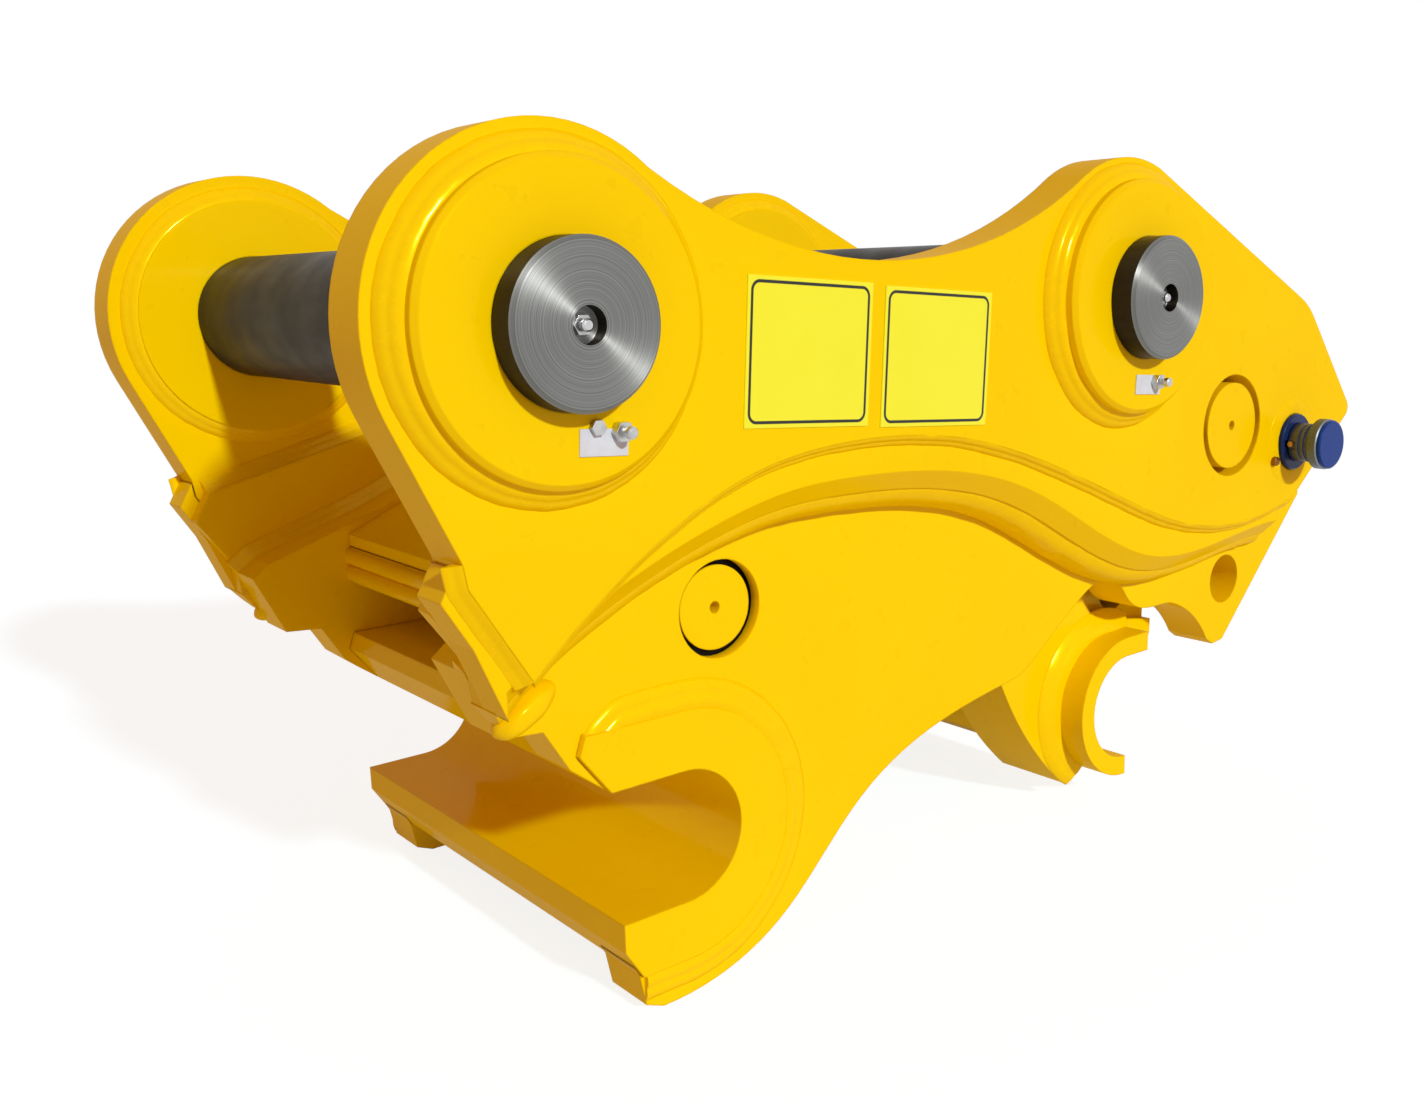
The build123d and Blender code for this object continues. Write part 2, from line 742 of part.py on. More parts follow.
def lock_pin():
    """Stepped lock pin with its spring shoulder and the grooved hub below the knob."""
    pin = disc(lock_centre, lock_tip_radius, lock_tip_start, lock_shoulder_start)
    tip = pin.edges().filter_by(GeomType.CIRCLE).sort_by(Axis.Y)[-1]
    pin = chamfer(tip, lock_tip_bevel)
    pin += disc(lock_centre, lock_shoulder_radius, lock_shoulder_start, lock_shoulder_end)
    pin += disc(lock_centre, lock_shaft_radius, lock_shoulder_end, lock_ring_end)
    pin += disc(lock_centre, lock_hub_radius, lock_hub_start, lock_hub_end)
    groove = Pos(*lock_centre) * ring(lock_hub_radius, lock_groove_radius)
    for place in lock_groove_places:
        start = lock_hub_start + place
        pin -= slab(groove, start, start + lock_groove_width)
    return pin - across_lock(lock_cross_pin_radius + press_fit, lock_hub_radius)


def across_lock(radius, half_length):
    """Round bar through the lock pin, at the place of the cross pin."""
    place = Pos(lock_centre[0], -lock_cross_pin_place, lock_centre[1]) * Rot(0, 90, 0)
    return place * Cylinder(radius, 2 * half_length)


def lock_knob_ring():
    """Steel ring of the knob."""
    body = disc(lock_centre, lock_ring_radius, lock_hub_end, lock_ring_end - lock_cap_depth)
    body = chamfer(body.edges().filter_by(GeomType.CIRCLE), lock_ring_bevel)
    return body - disc(lock_centre, lock_shaft_radius + press_fit, lock_hub_end, lock_ring_end)


def lock_cap():
    """Blue cap on the knob."""
    start = lock_ring_end - lock_cap_depth
    cap = disc(lock_centre, lock_cap_radius, start, lock_cap_face)
    cap = chamfer(cap.edges().filter_by(GeomType.CIRCLE).sort_by(Axis.Y)[0], lock_ring_bevel)
    return cap - disc(lock_centre, lock_shaft_radius + press_fit, start, lock_ring_end)


def lock_cross_pin():
    """Small pin across the lock pin that parks it in the pulled position."""
    return across_lock(lock_cross_pin_radius, lock_cross_pin_half_length)


def lock_spring():
    """Coil spring between the shoulder of the lock pin and the floor of the guide bush."""
    clear = spring_wire_radius + spring_end_gap
    start = lock_shoulder_end + clear
    height = lock_bush_end - clear - start
    count = spring_turns * spring_sides
    points = []
    for step in range(count + 1):
        x, z = point_on(lock_centre, spring_radius, 360 * step / spring_sides)
        points.append((x, -start - height * step / count, z))
    path = Polyline(*points)
    section = Plane(origin=path @ 0, z_dir=path % 0) * RegularPolygon(spring_wire_radius, 6)
    return sweep(section, path=path, transition=Transition.RIGHT)


def label_plate(corner):
    """Bare plate on the ear plate, given by its upper front corner."""
    face = Pos(*corner) * Rot(0, 0, label_tilt) * Pos(label_width / 2, -label_height / 2)
    plate = slab(face * Rectangle(label_width, label_height), ear_outer, ear_outer + label_thickness)
    return plate


def tag(centre):
    """Small bare tag on a boss, below the pin."""
    face = Pos(*centre) * Rot(0, 0, label_tilt) * Rectangle(tag_width, tag_height)
    return slab(face, outer_boss_face, outer_boss_face + tag_thickness)


def boss_nipples():
    """Grease nipples that stand on the two tags."""
    base = outer_boss_face + tag_thickness
    front = grease_nipple(nipple_front, base, nipple_length)
    rear = grease_nipple(nipple_rear, base, nipple_length)
    return Compound([front, rear])


def boss_plug():
    """Hexagon screw plug beside the front tag."""
    base = outer_boss_face + tag_thickness
    return slab(Pos(*plug_front) * RegularPolygon(plug_hex / 2, 6, major_radius=False), base, base + plug_height)


def make_pieces():
    """All pieces under their node names."""
    pieces = {}
    front = (0.0, 0.0)
    rear = (pin_spacing, 0.0)
    both_sides("ear_plate", ear_plate(), pieces)
    both_sides("cheek_plate", cheek_plate(), pieces)
    both_sides("packing_plate", packing_plate(), pieces)
    both_sides("hook_plate", hook_plate(), pieces)
    both_sides("front_boss", outer_boss(front), pieces)
    both_sides("rear_boss", outer_boss(rear), pieces)
    both_sides("front_inner_boss", inner_boss(front), pieces)
    both_sides("rear_inner_boss", inner_boss(rear), pieces)
    lock_bore = disc(lock_centre, lock_bush_radius + lock_bush_fit, hook_plate_outer, ear_outer)
    lock_guide = disc(lock_centre, lock_tip_radius + pivot_fit, hook_plate_inner, hook_plate_outer)
    pieces["ear_plate_left"] -= lock_bore
    pieces["packing_plate_left"] -= lock_bore
    pieces["hook_plate_left"] -= lock_guide
    both_sides("anchor_pin", anchor_pin(), pieces)
    both_sides("pivot_bush", pivot_bush(), pieces)
    pieces["front_hook_saddle"] = front_hook_saddle()
    pieces["front_cross_plate"] = front_cross_plate()
    pieces["top_cover_plate"] = top_cover_plate()
    pieces["belly_plate"] = belly_plate()
    pieces["front_stick_pin"] = stick_pin(front)
    pieces["rear_stick_pin"] = stick_pin(rear)
    well_floor = pin_half_length - nipple_well_depth
    pieces["front_pin_nipple"] = grease_nipple(front, well_floor, nipple_well_depth - nipple_sink)
    pieces["rear_pin_nipple"] = grease_nipple(rear, well_floor, nipple_well_depth - nipple_sink)
    pieces["boss_nipples"] = boss_nipples()
    pieces["boss_plug"] = boss_plug()
    pieces["front_tag"] = tag(tag_front)
    pieces["rear_tag"] = tag(tag_rear)
    pieces["label_plate_front"] = label_plate(label_corner_front)
    pieces["label_plate_rear"] = label_plate(label_corner_rear)
    pieces["thrust_block"] = thrust_block()
    pieces["spindle_bush"] = spindle_bush()
    pieces["thrust_washer_front"] = thrust_washer(0)
    pieces["thrust_washer_rear"] = thrust_washer(collar_place()[1] + collar_play)
    pieces["spindle"] = spindle()
    pieces["bearing_cap"] = bearing_cap()
    pieces["bearing_cap_screws"] = bearing_cap_screws()
    pieces["trunnion_nut"] = trunnion_nut()
    pieces["hook_arm_left"] = hook_arm_with_sector()
    pieces["hook_arm_right"] = mirror(hook_arm(), about=Plane.XZ)
    pieces["hook_saddle"] = hook_saddle()
    pieces["hook_web"] = hook_web()
    pieces["pivot_pin"] = pivot_pin()
    pieces["pivot_spacer_tube"] = pivot_spacer_tube()
    pieces["lock_flange"] = lock_flange()
    pieces["lock_pin"] = lock_pin()
    pieces["lock_knob_ring"] = lock_knob_ring()
    pieces["lock_cap"] = lock_cap()
    pieces["lock_cross_pin"] = lock_cross_pin()
    pieces["lock_spring"] = lock_spring()
    return pieces


os.makedirs("parts", exist_ok=True)
for name, shape in make_pieces().items():
    shape.label = name
    export_step(shape, os.path.join("parts", name + ".step"))
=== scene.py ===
import json
import math

import bmesh
import bpy
from mathutils import Matrix, Vector, noise


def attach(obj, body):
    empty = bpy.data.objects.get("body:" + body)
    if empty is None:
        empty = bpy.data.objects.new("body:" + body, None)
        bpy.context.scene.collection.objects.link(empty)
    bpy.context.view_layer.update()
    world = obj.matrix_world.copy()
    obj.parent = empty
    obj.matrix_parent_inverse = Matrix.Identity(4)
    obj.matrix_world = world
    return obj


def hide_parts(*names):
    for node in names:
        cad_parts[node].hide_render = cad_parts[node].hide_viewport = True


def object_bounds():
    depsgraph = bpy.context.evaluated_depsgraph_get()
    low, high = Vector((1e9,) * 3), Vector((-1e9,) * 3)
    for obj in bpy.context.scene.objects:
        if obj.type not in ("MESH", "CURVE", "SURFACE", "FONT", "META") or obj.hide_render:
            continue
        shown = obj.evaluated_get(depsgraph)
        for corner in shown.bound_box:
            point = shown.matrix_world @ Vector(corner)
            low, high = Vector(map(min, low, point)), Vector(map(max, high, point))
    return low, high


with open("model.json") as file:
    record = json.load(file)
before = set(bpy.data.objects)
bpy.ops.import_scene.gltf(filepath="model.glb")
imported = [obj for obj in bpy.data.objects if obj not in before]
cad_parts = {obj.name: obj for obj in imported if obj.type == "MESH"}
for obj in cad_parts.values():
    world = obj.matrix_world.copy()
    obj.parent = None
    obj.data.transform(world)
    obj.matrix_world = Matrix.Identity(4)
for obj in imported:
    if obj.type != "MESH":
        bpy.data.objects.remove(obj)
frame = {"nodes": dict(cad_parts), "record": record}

bl_info = {
    "name": "Mechanical quick coupler",
    "version": (1, 0, 0),
    "blender": (4, 5, 0),
    "location": "3D View > Sidebar > Coupler",
    "description": "Welds, finishes and stage for a manual excavator quick coupler",
    "category": "Object",
}

MM = 0.001
CAD_BOX = [list(corner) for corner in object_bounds()]

# Places in the side view, in millimetres, the same as in the part's source
FRONT_PIN = (0.0, 0.0)
REAR_PIN = (445.0, 0.0)
ANCHOR = (127.0, -167.0)
LOCK = (667.0, -118.0)
THROAT = (95.0, -296.0)
RING = (534.0, -320.0)
SPINDLE_TILT = 8.0

# Distances of the plate faces from the middle plane, in millimetres
HOOK_INNER = 132.0
HOOK_OUTER = 168.0
EAR_INNER = 180.0
CHEEK_OUTER = 205.0
EAR_OUTER = 212.0
ARM_OUTER = 130.0

# Spindle, along its axis from the anchor
SPINDLE_START = -34.0
SPINDLE_COLLAR = (4.3, 18.3)
SPINDLE_THREAD = (62.0, 505.0)
SPINDLE_END = 522.0
SPINDLE_TIP = 562.0
SPINDLE_RADIUS = 20.0
SPINDLE_ROOT = 17.2
COLLAR_RADIUS = 27.0
HEXAGON_FLATS = 32.0
HEXAGON_CORNERS = 17.4
TIP_CORNERS = 15.4
THREAD_LEAD = 10.0
THREAD_RUNOUT = 12.0
THREAD_STEPS = 10

# Half the thread's crest and one of its flanks, as shares of the lead
THREAD_CREST = 0.14
THREAD_FLANK = 0.2

# Radii of the round forms that carry a bead, in millimetres
BOSS_RADIUS = 77.0
SADDLE_RADIUS = 76.0
RING_RADIUS = 56.0
FLANGE_RADIUS = 23.5

# Bare steel round the anchor pins, dark enough to serve as painted shade of the deep gap there: between
# which radii, and up to which distance from the middle
GAP_IN_PLATE = ((24.0, 29.6), 160.5)
GAP_ON_PIN = ((24.6, 40.0), 162.0)

# Bare label plates, as in the part's source
LABEL_CORNERS = {"label_plate_front": (118.0, 21.0), "label_plate_rear": (218.0, 13.0)}
LABEL_SIZE = (90.0, 80.0)
LABEL_TILT = -4.0

# Frame line on them: how far from the edge, corner radius and half its width
LABEL_MARGIN = 3.0
LABEL_ROUNDING = 5.0
LABEL_LINE = 0.85

# Half the width over which one colour goes over into another at a drawn line
SOFT_EDGE = 0.1

# Peg beside the lock: its place, and its outline as radius and distance from the middle plane
STOP_PEG = (640.5, -131.0)
PEG_OUTLINE = [(3.6, EAR_OUTER - 0.5), (3.6, 215.6), (3.0, 216.6), (1.6, 217.0), (1.2, 216.4)]

# Camera that fits the photo
CAMERA_PLACE = (-0.3289, -0.7690, 0.0201)
CAMERA_RIGHT = (0.7647, -0.6441, -0.0217)
CAMERA_FORWARD = (0.6283, 0.7526, -0.1972)
CAMERA_SHIFT = (-0.0466, -0.0029)

# Where the key light shines to
KEY_DIRECTION = (0.066, 1.0, -0.479)

# Floor in metres: half its size, and how far below the object it lies
FLOOR_HALF_SIZE = 14.0
FLOOR_GAP = 0.002

# Floor as it is seen: what it throws back of the lamps, and its own even white
FLOOR_SHADE = (0.24, 0.35, 0.40, 1.0)
FLOOR_WHITE = 0.84

# Enamel under a thin clear coat; the trace of metal tints what it mirrors
ENAMEL_METALLIC = 0.045
ENAMEL_COAT = 0.1
ENAMEL_COAT_ROUGHNESS = 0.13

# Bare metals by slot: bright and dark colour as shown on a screen, roughness and grain
METALS = {
    "machined_steel": ((0.62, 0.62, 0.63), (0.42, 0.41, 0.40), 0.34, 120.0),
    "bronze": ((0.72, 0.55, 0.33), (0.50, 0.36, 0.20), 0.36, 120.0),
    "zinc_steel": ((0.80, 0.80, 0.80), (0.60, 0.60, 0.60), 0.30, 300.0),
    "spring_steel": ((0.36, 0.36, 0.38), (0.20, 0.20, 0.20), 0.40, 120.0),
}

# Bead sections in millimetres: along the plate, up the wall, crown over all, ridge of each pass
BEAD_SECTIONS = {
    "inner_boss": (9.0, 7.0, 0.5, 0.4),
    "lug": (8.0, 6.6, -0.3, 0.2),
    "cheek": (13.0, 23.5, 4.2, 0.6),
    "saddle": (17.0, 3.2, 0.9, 1.2),
    "ring": (18.0, 8.0, 0.8, 0.3),
    "inner": (9.0, 9.0, 0.2, 0.5),
    "collar": (10.5, 1.5, 0.3, 0.0),
}

# The bead round a boss is this much lower than wide; the height of the bead under the ear plate
BOSS_BEAD_DROP = 1.5
PLATE_BEAD_HEIGHT = 6.8

# How far a bead reaches into the wall and into the plate, and the step it is swept with
BEAD_SINK = (1.2, 0.8)
BEAD_STEP = 2.0

# Ripples bow by this many pitches for each metre of a bead's height
RIPPLE_BOW = 90.0

# Front cross plate and the two ribs of weld across it: heights, half foot, half width and rise
FRONT_CROSS_FACE = 33.0
RIB_HEIGHTS = (-165.5, -177.5)
RIB_SECTION = (6.0, 5.6, 4.5)

# Rounded end of the weld at the cheek plate's front corner
WELD_END_PLACE = (-5.0, 172.0, -196.0)
WELD_END_HALF_SIZES = (20.0, 12.0, 9.0)
WELD_END_TILT = 33.7

# Side view lines that the weld beads follow, near the plates' own edges
EAR_FRONT = [(-20, -170), (-51, -119), (-53, -107)]
EAR_LOW = [
    (-20, -170), (45, -119), (118, -84), (200, -73), (284, -80),
    (374, -107), (443, -135), (520, -164), (574, -173.5), (666, -165)]
PACKING_LOW = [
    (-31, -189), (23, -153), (92, -124), (159, -108.5), (196, -107), (277, -112),
    (352, -132), (419, -167), (455, -185), (493, -198), (532, -202.5), (591, -199), (663, -194)]
PACKING_TOP = [
    (714, -112), (655, -50), (545, -50), (505, -86), (385, -86),
    (300, -62), (200, -62), (90, -80), (-46, -116)]
HOOK_PLATE_TOP = [
    (-35, -171), (-24, -162.5), (62, -133), (130, -104), (492, -104),
    (535, -44), (600, -34), (662, -44), (722, -100)]
SADDLE_START = [(45, -232), (48, -227), (56, -221), (70, -220)]
SADDLE_TOE = [(64, -372)]


# Small helpers

def round_points(centre, radius, start, end, step=4.0):
    """Points of an arc in the side view, from start to end in degrees."""
    count = max(2, int(abs(end - start) / step))
    angles = [math.radians(start + (end - start) * i / count) for i in range(count + 1)]
    return [(centre[0] + radius * math.cos(a), centre[1] + radius * math.sin(a)) for a in angles]


def edge_near(name, face, guide, reach=9.0):
    """Side view points of a node's edge on one face, near the guide line and in its order."""
    found = {}
    for vertex in frame["nodes"][name].data.vertices:
        x, y, z = (c / MM for c in vertex.co)
        if abs(y + face) > 0.02:
            continue
        distance, along = place_on_line((x, z), guide)
        if distance < reach:
            found[round(along, 1)] = (x, z)
    return [found[along] for along in sorted(found)]


def place_on_line(point, line):
    """Distance of a point from a line of points, and how far along the line its nearest place is."""
    best = (1e9, 0.0)
    walked = 0.0
    for (x0, z0), (x1, z1) in zip(line, line[1:]):
        length = math.hypot(x1 - x0, z1 - z0)
        share = ((point[0] - x0) * (x1 - x0) + (point[1] - z0) * (z1 - z0)) / length ** 2
        share = min(1.0, max(0.0, share))
        distance = math.hypot(x0 + share * (x1 - x0) - point[0], z0 + share * (z1 - z0) - point[1])
        best = min(best, (distance, walked + share * length))
        walked += length
    return best


def set_in(node, **values):
    """Sets a node's inputs by name, with spaces written as underscores."""
    for name, value in values.items():
        node.inputs[name.replace("_", " ")].default_value = value


def linear(colour):
    """Linear colour from one written as it shows on a screen."""
    out = []
    for c in colour[:3]:
        out.append(c / 12.92 if c <= 0.04045 else ((c + 0.055) / 1.055) ** 2.4)
    return (*out, 1.0)


def shaded(colour, share):
    """Linear colour made darker by the same share all over."""
    return (*(c * share for c in colour[:3]), 1.0)


def give_material(target, material):
    """Puts one material on every slot of an object."""
    if not target.data.materials:
        target.data.materials.append(material)
    for place in range(len(target.data.materials)):
        target.data.materials[place] = material


# Settings

def size_setting(name, description, default, low, high):
    """Setting for a size in millimetres."""
    return bpy.props.FloatProperty(
        name=name, description=description + ", in millimetres", default=default, min=low, max=high)


def colour_setting(name, description, default):
    """Setting for a colour."""
    return bpy.props.FloatVectorProperty(
        name=name, description=description, subtype="COLOR", size=3, default=default, min=0.0, max=1.0)


class CouplerWeldSettings(bpy.types.PropertyGroup):
    """Sizes of the weld beads."""
    boss_leg: size_setting("Boss leg", "Width of the bead round a boss", 11.0, 2.0, 14.0)
    plate_leg: size_setting("Plate leg", "Width of the bead under the ear plate", 6.2, 2.0, 14.0)
    ripple_pitch: size_setting("Ripple pitch", "Distance between two ripples of a bead", 4.2, 1.0, 12.0)
    ripple_depth: size_setting("Ripple depth", "Depth of the ripples", 0.1, 0.0, 2.0)
    wander: size_setting("Wander", "How unevenly the bead was laid", 2.0, 0.0, 6.0)
    seed: bpy.props.IntProperty(name="Seed", description="Fixed seed of the uneven bead", default=7)


class CouplerPaintSettings(bpy.types.PropertyGroup):
    """Colours and gloss of the enamel."""
    yellow: colour_setting("Yellow", "Enamel colour as it shows on a screen", (0.965, 0.838, 0.0))
    blue: colour_setting("Blue", "Colour of the lock knob", (0.08, 0.23, 0.55))
    label: colour_setting("Label", "Colour of the bare label plates", (0.93, 0.96, 0.15))
    gloss: bpy.props.FloatProperty(
        name="Gloss", description="Roughness of the enamel", subtype="FACTOR",
        default=0.3, min=0.0, max=1.0)
    peel: size_setting("Peel", "Height of the enamel's uneven skin", 0.05, 0.0, 1.0)


class CouplerStageSettings(bpy.types.PropertyGroup):
    """Camera, floor and lamps."""
    lens: bpy.props.FloatProperty(
        name="Lens", description="Focal length of the camera, in millimetres", default=34.08)
    floor: colour_setting("Floor", "Colour of the floor", (0.93, 0.93, 0.92))
    key_strength: bpy.props.FloatProperty(
        name="Key light", description="Strength of the distant light from the near side",
        default=2.2, min=0.0)
    key_spread: bpy.props.FloatProperty(
        name="Key spread", description="Angle over which the key light is spread",
        subtype="ANGLE", default=math.radians(3.0))
    sky: bpy.props.FloatProperty(
        name="Sky", description="Strength of the even light from all sides", default=0.40, min=0.0)
    sky_colour: colour_setting("Sky colour", "Colour of the even light", (1.0, 0.46, 0.32))


# Shader groups

def new_group(name, inputs, outputs):
    """Empty shader group with the named sockets."""
    tree = bpy.data.node_groups.new(name, "ShaderNodeTree")
    for label, kind, value in inputs:
        socket = tree.interface.new_socket(label, in_out="INPUT", socket_type=kind)
        if value is not None:
            socket.default_value = value
    for label, kind in outputs:
        tree.interface.new_socket(label, in_out="OUTPUT", socket_type=kind)
    start = tree.nodes.new("NodeGroupInput")
    end = tree.nodes.new("NodeGroupOutput")
    return tree, start, end


def add_maths(tree, operation, first, second=None, third=None, clamp=False):
    """Maths node fed by sockets or numbers; gives its output."""
    node = tree.nodes.new("ShaderNodeMath")
    node.operation = operation
    node.use_clamp = clamp
    for place, value in enumerate((first, second, third)):
        if value is None:
            continue
        if isinstance(value, (int, float)):
            node.inputs[place].default_value = value
        else:
            tree.links.new(value, node.inputs[place])
    return node.outputs[0]


def add_reach(tree, first, second):
    """Distance from zero of two measures at right angles."""
    squares = [add_maths(tree, "MULTIPLY", value, value) for value in (first, second)]
    return add_maths(tree, "SQRT", add_maths(tree, "ADD", *squares))


def add_excess(tree, value, limit):
    """How far a measure lies beyond a limit on either side of zero, and zero within it."""
    beyond = add_maths(tree, "SUBTRACT", add_maths(tree, "ABSOLUTE", value), limit)
    return add_maths(tree, "MAXIMUM", beyond, 0.0)


def add_split(tree, vector):
    """The three parts of a vector."""
    node = tree.nodes.new("ShaderNodeSeparateXYZ")
    tree.links.new(vector, node.inputs[0])
    return node.outputs


def add_noise(tree, vector, scale, detail=3.0, roughness=0.5):
    """Noise texture on a vector; gives its value output."""
    node = tree.nodes.new("ShaderNodeTexNoise")
    set_in(node, Scale=scale, Detail=detail, Roughness=roughness)
    tree.links.new(vector, node.inputs["Vector"])
    return node.outputs[0]


def add_line_noise(tree, value, scale, detail, roughness):
    """Noise along one measure, with its scale fed by a socket; gives its value output."""
    node = tree.nodes.new("ShaderNodeTexNoise")
    node.noise_dimensions = "1D"
    set_in(node, Detail=detail, Roughness=roughness)
    tree.links.new(scale, node.inputs["Scale"])
    tree.links.new(value, node.inputs["W"])
    return node.outputs[0]


def add_mix(tree, factor, first, second):
    """Colour mix; gives its result."""
    node = tree.nodes.new("ShaderNodeMix")
    node.data_type = "RGBA"
    for socket, value in ((node.inputs[0], factor), (node.inputs[6], first), (node.inputs[7], second)):
        if isinstance(value, (int, float, tuple)):
            socket.default_value = value
        else:
            tree.links.new(value, socket)
    return node.outputs[2]


def add_range(tree, value, low, high, to_low=0.0, to_high=1.0):
    """Map Range on a value; gives its result."""
    node = tree.nodes.new("ShaderNodeMapRange")
    node.inputs["From Min"].default_value = low
    node.inputs["From Max"].default_value = high
    node.inputs["To Min"].default_value = to_low
    node.inputs["To Max"].default_value = to_high
    tree.links.new(value, node.inputs["Value"])
    return node.outputs["Result"]


def stretched(tree, vector, factors):
    """Vector scaled by three factors."""
    node = tree.nodes.new("ShaderNodeMapping")
    node.inputs["Scale"].default_value = factors
    tree.links.new(vector, node.inputs["Vector"])
    return node.outputs[0]


def seen_directly(tree):
    """1 for what the camera, a reflection or clear glass shows, 0 for light thrown on a surface."""
    path = tree.nodes.new("ShaderNodeLightPath")
    seen = add_maths(tree, "MAXIMUM", path.outputs["Is Camera Ray"], path.outputs["Is Glossy Ray"])
    return add_maths(tree, "MAXIMUM", seen, path.outputs["Is Transmission Ray"], clamp=True)


def make_enamel_group():
    """Enamel on plate: uneven skin, flame-cut lines on the plate edges, soft change of shade and dust."""
    tree, start, end = new_group(
        "enamel_on_plate",
        [("Position", "NodeSocketVector", None), ("Direction", "NodeSocketVector", None),
         ("Colour", "NodeSocketColor", (1, 1, 1, 1)),
         ("Deep Colour", "NodeSocketColor", (0.5, 0.5, 0.5, 1)),
         ("Roughness", "NodeSocketFloat", 0.3), ("Cut Lines", "NodeSocketFloat", 1.0)],
        [("Colour", "NodeSocketColor"), ("Roughness", "NodeSocketFloat"), ("Height", "NodeSocketFloat")])
    position = start.outputs["Position"]
    skin = add_noise(tree, position, 170.0, 2.0)
    swell = add_noise(tree, position, 26.0, 3.0)
    shade = add_noise(tree, position, 7.0, 4.0)
    lines = add_noise(tree, stretched(tree, position, (420.0, 16.0, 420.0)), 1.0, 2.0)
    side = add_maths(tree, "ABSOLUTE", add_split(tree, start.outputs["Direction"])[1])
    on_edge = add_maths(tree, "MULTIPLY", add_range(tree, side, 0.3, 0.1), start.outputs["Cut Lines"])
    cut = add_maths(tree, "MULTIPLY", lines, on_edge)
    fine_skin = add_maths(tree, "MULTIPLY", skin, 0.35)
    height = add_maths(tree, "ADD", fine_skin, add_maths(tree, "MULTIPLY", swell, 1.6))
    height = add_maths(tree, "ADD", height, add_maths(tree, "MULTIPLY", cut, 1.8))
    tree.links.new(height, end.inputs["Height"])
    tint = add_maths(tree, "MULTIPLY", add_range(tree, shade, 0.35, 0.75), 0.22)
    colour = add_mix(tree, tint, start.outputs["Colour"], start.outputs["Deep Colour"])
    tree.links.new(colour, end.inputs["Colour"])
    fine = add_noise(tree, position, 60.0, 5.0)
    dust = add_range(tree, fine, 0.3, 0.8, -0.04, 0.12)
    rough = add_maths(tree, "ADD", start.outputs["Roughness"], dust)
    tree.links.new(rough, end.inputs["Roughness"])
    return tree


def make_turned_group():
    """Turned steel round an axis along y: ringed end faces, and dark scale on a ringed barrel."""
    tree, start, end = new_group(
        "turned_steel",
        [("Position", "NodeSocketVector", None), ("Direction", "NodeSocketVector", None),
         ("Bright", "NodeSocketColor", (0.5, 0.5, 0.5, 1)),
         ("Dark", "NodeSocketColor", (0.1, 0.1, 0.1, 1)), ("Ring Pitch", "NodeSocketFloat", 900.0)],
        [("Colour", "NodeSocketColor"), ("Roughness", "NodeSocketFloat"), ("Height", "NodeSocketFloat")])
    position = start.outputs["Position"]
    x, y, z = add_split(tree, position)
    side = add_maths(tree, "ABSOLUTE", add_split(tree, start.outputs["Direction"])[1])
    end_face = add_range(tree, side, 0.4, 0.8)
    flat = tree.nodes.new("ShaderNodeCombineXYZ")
    tree.links.new(x, flat.inputs[0])
    tree.links.new(z, flat.inputs[2])
    length = tree.nodes.new("ShaderNodeVectorMath")
    length.operation = "LENGTH"
    tree.links.new(flat.outputs[0], length.inputs[0])
    pitch = start.outputs["Ring Pitch"]
    radial = add_line_noise(tree, length.outputs["Value"], pitch, 6.0, 0.7)
    along = add_line_noise(tree, y, pitch, 5.0, 0.6)
    rings = tree.nodes.new("ShaderNodeMix")
    tree.links.new(end_face, rings.inputs[0])
    tree.links.new(along, rings.inputs[2])
    tree.links.new(radial, rings.inputs[3])
    tree.links.new(rings.outputs[0], end.inputs["Height"])
    scale = add_noise(tree, stretched(tree, position, (22.0, 6.0, 22.0)), 1.0, 6.0, 0.65)
    worn = add_range(tree, scale, 0.35, 0.7, 0.0, 0.08)
    barrel = add_mix(tree, worn, start.outputs["Dark"], start.outputs["Bright"])
    grooves = add_range(tree, rings.outputs[0], 0.35, 0.68, 0.0, 0.75)
    face = add_mix(tree, grooves, start.outputs["Bright"], (0.11, 0.11, 0.11, 1))
    tree.links.new(add_mix(tree, end_face, barrel, face), end.inputs["Colour"])
    smear = add_noise(tree, position, 35.0, 4.0)
    rough = add_range(tree, smear, 0.3, 0.8, 0.32, 0.46)
    tree.links.new(rough, end.inputs["Roughness"])
    return tree


GROUPS = {}


def shared_group(name):
    """Shader group made once and used by every finish that needs it."""
    if name not in GROUPS:
        makers = {"enamel_on_plate": make_enamel_group, "turned_steel": make_turned_group}
        GROUPS[name] = makers[name]()
    return GROUPS[name]


def start_material(name):
    """New material with a Principled shader and object coordinates."""
    material = bpy.data.materials.new(name)
    material.use_nodes = True
    tree = material.node_tree
    tree.nodes.clear()
    out = tree.nodes.new("ShaderNodeOutputMaterial")
    shader = tree.nodes.new("ShaderNodeBsdfPrincipled")
    tree.links.new(shader.outputs[0], out.inputs[0])
    coords = tree.nodes.new("ShaderNodeTexCoord")
    return material, tree, shader, coords


def add_bump(tree, shader, height, distance, strength=1.0, edge_radius=0.0):
    """Bump on the shader's normal, with softly rounded edges where a radius is given."""
    bump = tree.nodes.new("ShaderNodeBump")
    bump.inputs["Distance"].default_value = distance
    bump.inputs["Strength"].default_value = strength
    tree.links.new(height, bump.inputs["Height"])
    if edge_radius:
        bevel = tree.nodes.new("ShaderNodeBevel")
        bevel.samples = 4
        bevel.inputs["Radius"].default_value = edge_radius
        tree.links.new(bevel.outputs[0], bump.inputs["Normal"])
    tree.links.new(bump.outputs[0], shader.inputs["Normal"])


